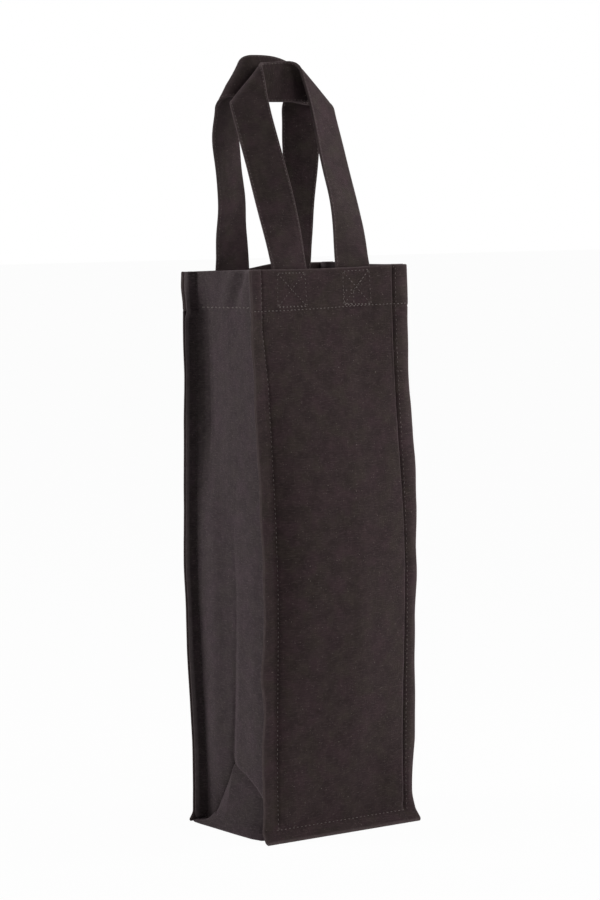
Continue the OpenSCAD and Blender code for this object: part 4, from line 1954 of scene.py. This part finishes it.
@dataclass
class SewnBag:
    """The bag's cloth and its sewing."""

    form: BagForm
    dresser: CanvasDresser
    panel_finish: Finish
    lit_gusset_finish: Finish
    thread_material: bpy.types.Material
    dark_thread_material: bpy.types.Material
    side_thread: Thread = Thread(seed=100, thickness=0.4)
    hem_thread: Thread = Thread(seed=200, pitch=2.7, thickness=0.56, length_share=0.6)
    strip_thread: Thread = Thread(seed=300)
    strip_hem_thread: Thread = Thread(seed=400, pitch=4.7, thickness=0.85, length_share=0.62)
    right_seam_shift: float = 1.55
    hem_slope: float = 0.018
    hem_wave: float = 0.3
    hem_wave_rate: float = 17.0
    strip_hem_inset: float = 9.6
    strip_hem_drop: float = 3.3
    panels: dict[Face, SewnPanel] = field(default_factory=dict)
    strip: ClothLayer | None = None

    def finish_piece(
        self, piece: bpy.types.Object, material: bpy.types.Material, slot: str
    ) -> None:
        """Give a piece its material, and let it ride on the bag.

        Args:
            piece: the piece.
            material: its material.
            slot: not used.
        """
        piece.data.materials.append(material)
        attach(piece, "bag")
        LOG.info("%s: %d faces", piece.name, len(piece.data.polygons))

    def build_cloth(self) -> None:
        """Build both panels and the gusset strip."""
        canvas = self.dresser.canvas(self.panel_finish)
        for face in Face:
            panel, node = Panel(self.form, face), f"{face.name.lower()}_panel"
            self.panels[face] = SewnPanel(panel, panel.layer())
            piece = self.panels[face].cloth.build(f"{node}_cloth")
            self.finish_piece(piece, canvas, "panel_canvas")
            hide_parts(node)
        self.strip = GussetStrip(self.form).layer()
        piece, canvas = self.strip.build("gusset_strip"), self.dresser.canvas(self.lit_gusset_finish)
        self.finish_piece(piece, canvas, "gusset_canvas")
        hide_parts("left_gusset", "right_gusset", "base_gusset")

    def sew_panel_seams(self, face: Face) -> None:
        """Sew a panel's side seams and its bottom seam.

        Args:
            face: which panel.
        """
        s, panel, row = self.form.sizes, self.panels[face], StitchRow(self.side_thread)
        z = np.linspace(s.seam_height, s.height - 1.2, 260)
        for side in (-1, 1):
            beside = self.right_seam_shift if face is Face.FRONT and side > 0 else 0.0
            x = side * (self.form.stitch_x(side * s.seam_x, z, face) + beside)
            row.sew(*panel.line(x, z))
        x = np.linspace(-s.seam_x - 0.6, s.seam_x + 0.6, 160)
        row.sew(*panel.line(x, np.full_like(x, s.seam_height + 0.5)))
        name = f"{face.name.lower()}_seam_stitches"
        self.finish_piece(row.build(name), self.thread_material, "panel_canvas")

    def sew_panel_hem(self, face: Face) -> None:
        """Sew a panel's hem, outside and on its turned layer.

        Args:
            face: which panel.
        """
        s, panel, row = self.form.sizes, self.panels[face], StitchRow(self.hem_thread)
        x = np.linspace(-s.width / 2 + 1.4, s.width / 2 - 1.4, 180)
        slope = self.hem_slope if face is Face.FRONT else 0.0
        wave = self.hem_wave * np.sin(x / self.hem_wave_rate)
        row.sew(*panel.line(x, s.hem_base + 1.0 + wave + slope * x))
        turned = np.full_like(x, panel.cloth.along[-1] - 0.9)
        row.sew(*panel.cloth.run(panel.across(x), turned, 1))
        name = f"{face.name.lower()}_hem_stitches"
        self.finish_piece(row.build(name), self.thread_material, "panel_canvas")

    def sew_strip(self) -> None:
        """Sew the gusset's side of every seam and its hems."""
        cloth, s = self.strip, self.form.sizes
        z = cloth.points[:, cloth.points.shape[1] // 2, 2]
        half = len(z) // 2
        start = cloth.along[int(np.argmax(z[:half]))] + 1.0
        end = cloth.along[half + int(np.argmax(z[half:]))] - 1.0
        line = np.linspace(start, end, 700)
        corner = cloth.across[-1] - (s.width / 2 - s.ridge_tuck - s.seam_x) + 1.0
        seam, hem = StitchRow(self.strip_thread), StitchRow(self.strip_hem_thread)
        for side in (-1, 1):
            seam.sew(*cloth.run(np.full_like(line, side * corner), line, 1))
        piece = seam.build("gusset_seam_stitches")
        self.finish_piece(piece, self.dark_thread_material, "gusset_canvas")
        inset, drop = self.strip_hem_inset, s.hem_height - self.strip_hem_drop
        x = np.linspace(cloth.across[0] + inset, cloth.across[-1] - inset, 120)
        for place in (start + drop, end - drop, cloth.along[0] + 1.0, cloth.along[-1] - 1.0):
            hem.sew(*cloth.run(x, np.full_like(x, place), 1))
        piece = hem.build("gusset_hem_stitches")
        self.finish_piece(piece, self.thread_material, "gusset_canvas")

    def build(self) -> None:
        """Build the bag's cloth and sew it."""
        self.build_cloth()
        for face in Face:
            self.sew_panel_seams(face)
            self.sew_panel_hem(face)
        self.sew_strip()


@dataclass
class DressedHandle:
    """A strap handle with its edge stitches and the boxes sewn through the rim."""

    strap: StrapHandle
    bag: SewnBag
    nodes: tuple[str, str]
    name: str
    edge_thread: Thread = Thread(seed=500, pitch=2.4, thickness=0.3, length_share=0.5)
    box_thread: Thread = Thread(seed=600, pitch=2.4, thickness=0.5, length_share=0.5)
    bend_height: float = 6.0
    edge_inset: float = 1.15
    box_half: float = 10.0
    box_low: float = 2.2
    box_high: float = 2.3

    def dress(self, piece: bpy.types.Object, material: bpy.types.Material) -> None:
        """Give a piece its material, and bake its placement into its mesh.

        Args:
            piece: the piece.
            material: its material.
        """
        piece.data.materials.append(material)
        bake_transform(piece)
        LOG.info("%s: %d faces", piece.name, len(piece.data.polygons))

    def build(self, canvas: bpy.types.Material) -> None:
        """Build the strap and its sewing.

        Args:
            canvas: the strap's material.
        """
        layer = self.strap.layer()
        piece = layer.build(f"{self.name}_strap")
        self.dress(piece, canvas)
        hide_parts(*self.nodes)
        row = StitchRow(self.edge_thread)
        line = np.linspace(layer.along[0] + 2.5, layer.along[-1] - 2.5, 420)
        for side in (-1, 1):
            for edge in (-1, 1):
                x = np.full_like(line, edge * (self.strap.width / 2 - self.edge_inset))
                row.sew(*layer.run(x, line, side))
        self.dress(row.build(f"{self.name}_strap_stitches"), self.bag.thread_material)
        self.sew_boxes()

    def box_corners(self, leg: int) -> list[Pair]:
        """Return the corners (x, z) that a leg's box stitches run through.

        Args:
            leg: -1 for the left leg, 1 for the right one.

        Returns:
            The corners, in order.
        """
        strap, s = self.strap, self.strap.form.sizes
        low, high = s.hem_base + self.box_low, s.height - self.box_high
        centre = -strap.face.value * (strap.loop.shift + leg * strap.leg_spacing / 2)
        left = centre - self.box_half + 0.8 * leg
        right = centre + self.box_half - 0.8 * (leg < 0)
        corners = [(left, high), (right, high), (right + 1.2, low), (left, low), (left, high)]
        corners += [(right + 0.8, low + 0.4), (left + 0.2, low + 0.4), (right, high)]
        if leg > 0:
            inner, outer = centre - 1.5, left + 0.6
            corners += [(inner, low + 9), (outer, low + 9), (outer, low + 1)]
            corners += [(inner, low + 0.6), (inner, low + 9)]
        return corners

    def sew_boxes(self) -> None:
        """Sew each strap end through the hem with a crossed box."""
        row, t = StitchRow(self.box_thread), np.linspace(0, 1, 40)
        for leg in (-1, 1):
            corners = self.box_corners(leg)
            for (x, z), (to_x, to_z) in zip(corners[:-1], corners[1:]):
                path = lerp(x, to_x, t), lerp(z, to_z, t)
                row.sew(*self.bag.panels[self.strap.face].line(*path))
        piece = row.build(f"{self.name}_box_stitches")
        self.bag.finish_piece(piece, self.bag.thread_material, "panel_canvas")


def direction(azimuth: float, elevation: float) -> Vector:
    """Return the unit vector towards a place round the bag.

    Args:
        azimuth: degrees from the front, positive to the right.
        elevation: degrees above the horizon.

    Returns:
        The vector, away from the bag.
    """
    a, e = math.radians(azimuth), math.radians(elevation)
    return Vector((math.sin(a) * math.cos(e), -math.cos(a) * math.cos(e), math.sin(e)))


@dataclass(frozen=True)
class Softbox:
    """A soft light in a ring round the bag, azimuth degrees to the left of its front."""

    name: str
    azimuth: float
    height: float
    power: float
    size: float = 0.85
    tall: float = 0.9
    away: float = 1.9
    aim: Triple = (0.0, 0.0, 0.25)

    def build(self) -> None:
        """Hang the light, turned to its aim."""
        out = direction(-self.azimuth, self.height)
        data = bpy.data.lights.new(self.name, "AREA")
        data.shape = "RECTANGLE"
        data.size, data.size_y, data.energy = self.size, self.tall, self.power
        light = link_object(self.name, data)
        light.location = Vector(self.aim) + out * self.away
        light.rotation_euler = (-out).to_track_quat("-Z", "Y").to_euler()


@dataclass
class Studio:
    """Camera, floor and light."""

    azimuth: float = -33.37
    elevation: float = 4.4
    roll: float = -1.28
    distance: float = 1.686
    lens: float = 107.24
    sensor: float = 36.0
    target: Triple = (0.0027, 0.0, 0.2361)
    floor_size: float = 60.0
    floor_colour: tuple[float, float, float, float] = (0.92, 0.92, 0.92, 1.0)
    floor_glow: float = 0.97
    white: tuple[float, float, float, float] = (1.0, 1.0, 1.0, 1.0)
    room_strength: float = 0.14
    lights: tuple[Softbox, ...] = (
        Softbox("key_softbox", 124.0, 30.0, 16.8),
        Softbox("front_softbox", -15.0, 28.0, 8.2),
        Softbox("right_strip_light", -66.0, 8.0, 3.6, 0.3, 1.1, 0.62),
    )

    def camera(self) -> None:
        """Place the camera at the photograph's angle."""
        back = direction(self.azimuth, self.elevation)
        right = Vector((0, 0, 1)).cross(back).normalized()
        basis = Matrix((right, back.cross(right), back)).transposed().to_4x4()
        data = bpy.data.cameras.new("camera")
        data.lens, data.sensor_width = self.lens, self.sensor
        camera = link_object("camera", data)
        place = Matrix.Translation(Vector(self.target) + back * self.distance)
        camera.matrix_world = place @ basis @ Matrix.Rotation(math.radians(self.roll), 4, "Z")
        bpy.context.scene.camera = camera

    def seen_directly(self, nodes: NodeTree) -> Socket:
        """Return 1 where the eye, a gloss or a clear piece looks straight at the surface.

        Args:
            nodes: the tree that asks.

        Returns:
            The output socket.
        """
        path = nodes.add("ShaderNodeLightPath").outputs
        seen = nodes.math("MAXIMUM", path["Is Camera Ray"], path["Is Glossy Ray"])
        return nodes.math("MAXIMUM", seen, path["Is Transmission Ray"])

    def floor(self) -> None:
        """Lay the pale floor."""
        mesh, size = bpy.data.meshes.new("floor"), self.floor_size
        corners = [(-size, -size, 0), (size, -size, 0), (size, size, 0), (-size, size, 0)]
        mesh.from_pydata(corners, [], [(0, 1, 2, 3)])
        floor = link_object("floor", mesh)
        material, n = blank_material("pale_floor")
        matt = n.add("ShaderNodeBsdfDiffuse", {"Color": self.floor_colour}).outputs[0]
        glow = n.add("ShaderNodeEmission", {"Color": self.white, "Strength": 1.0}).outputs[0]
        share = n.times(self.seen_directly(n), self.floor_glow)
        mixed = n.add("ShaderNodeMixShader", {0: share, 1: matt, 2: glow})
        n.add("ShaderNodeOutputMaterial", {"Surface": mixed.outputs[0]})
        mesh.materials.append(material)

    def world(self) -> None:
        """Light the room evenly, with a white background."""
        world = bpy.data.worlds.new("studio")
        bpy.context.scene.world = world
        world.use_nodes = True
        world.node_tree.nodes.clear()
        n = NodeTree(world.node_tree)
        room, white = (
            n.add("ShaderNodeBackground", {"Color": self.white, "Strength": strength}).outputs[0]
            for strength in (self.room_strength, 1.0)
        )
        mixed = n.add("ShaderNodeMixShader", {0: self.seen_directly(n), 1: room, 2: white})
        n.add("ShaderNodeOutputWorld", {"Surface": mixed.outputs[0]})

    def build(self) -> None:
        """Set up the whole studio."""
        self.camera()
        self.floor()
        for light in self.lights:
            light.build()
        self.world()
        bpy.context.scene.view_settings.view_transform = "Standard"


def main() -> None:
    """Build the carrier and its studio, and report each piece."""
    logging.basicConfig(level=logging.INFO, format="%(name)s %(message)s")
    dresser, form = CanvasDresser(), BagForm()
    panel = Finish(
        "panel_canvas", base=(0.0465, 0.0315, 0.031), warm=(0.047, 0.037, 0.029),
        cool=(0.0535, 0.0295, 0.036),
    )
    # The sides' canvas has a lighter base than the panels': partly its own tone, partly painted
    # light for the brighter-lit sides.
    gusset = Finish(
        "gusset_canvas", base=(0.0565, 0.0435, 0.045), warm=(0.0555, 0.0465, 0.042),
        cool=(0.065, 0.043, 0.0525), sheen=0.25, slub_strength=1.4,
    )
    tape = Finish(
        "strap_canvas", base=(0.0535, 0.037, 0.037), warm=(0.0525, 0.0435, 0.034),
        cool=(0.062, 0.035, 0.043), slub_strength=0.55,
    )
    threads = (
        dresser.thread(ThreadFinish("top_thread", (0.185, 0.15, 0.14))),
        # A thread nearly the canvas's own dark colour, used on the gusset's side of the side seams.
        dresser.thread(ThreadFinish("dark_thread", (0.045, 0.036, 0.036))),
    )
    bag = SewnBag(form, dresser, panel, gusset, *threads)
    bag.build()
    canvas = dresser.canvas(tape)
    front = StrapHandle(form, Face.FRONT, "front_loop", FRONT_LOOP)
    back = StrapHandle(form, Face.BACK, "back_loop", BACK_LOOP, seed=6)
    DressedHandle(front, bag, ("front_handle", "front_handle_ends"), "front").build(canvas)
    DressedHandle(back, bag, ("back_handle", "back_handle_ends"), "back").build(canvas)
    Studio().build()


if __name__ == "__main__":
    main()
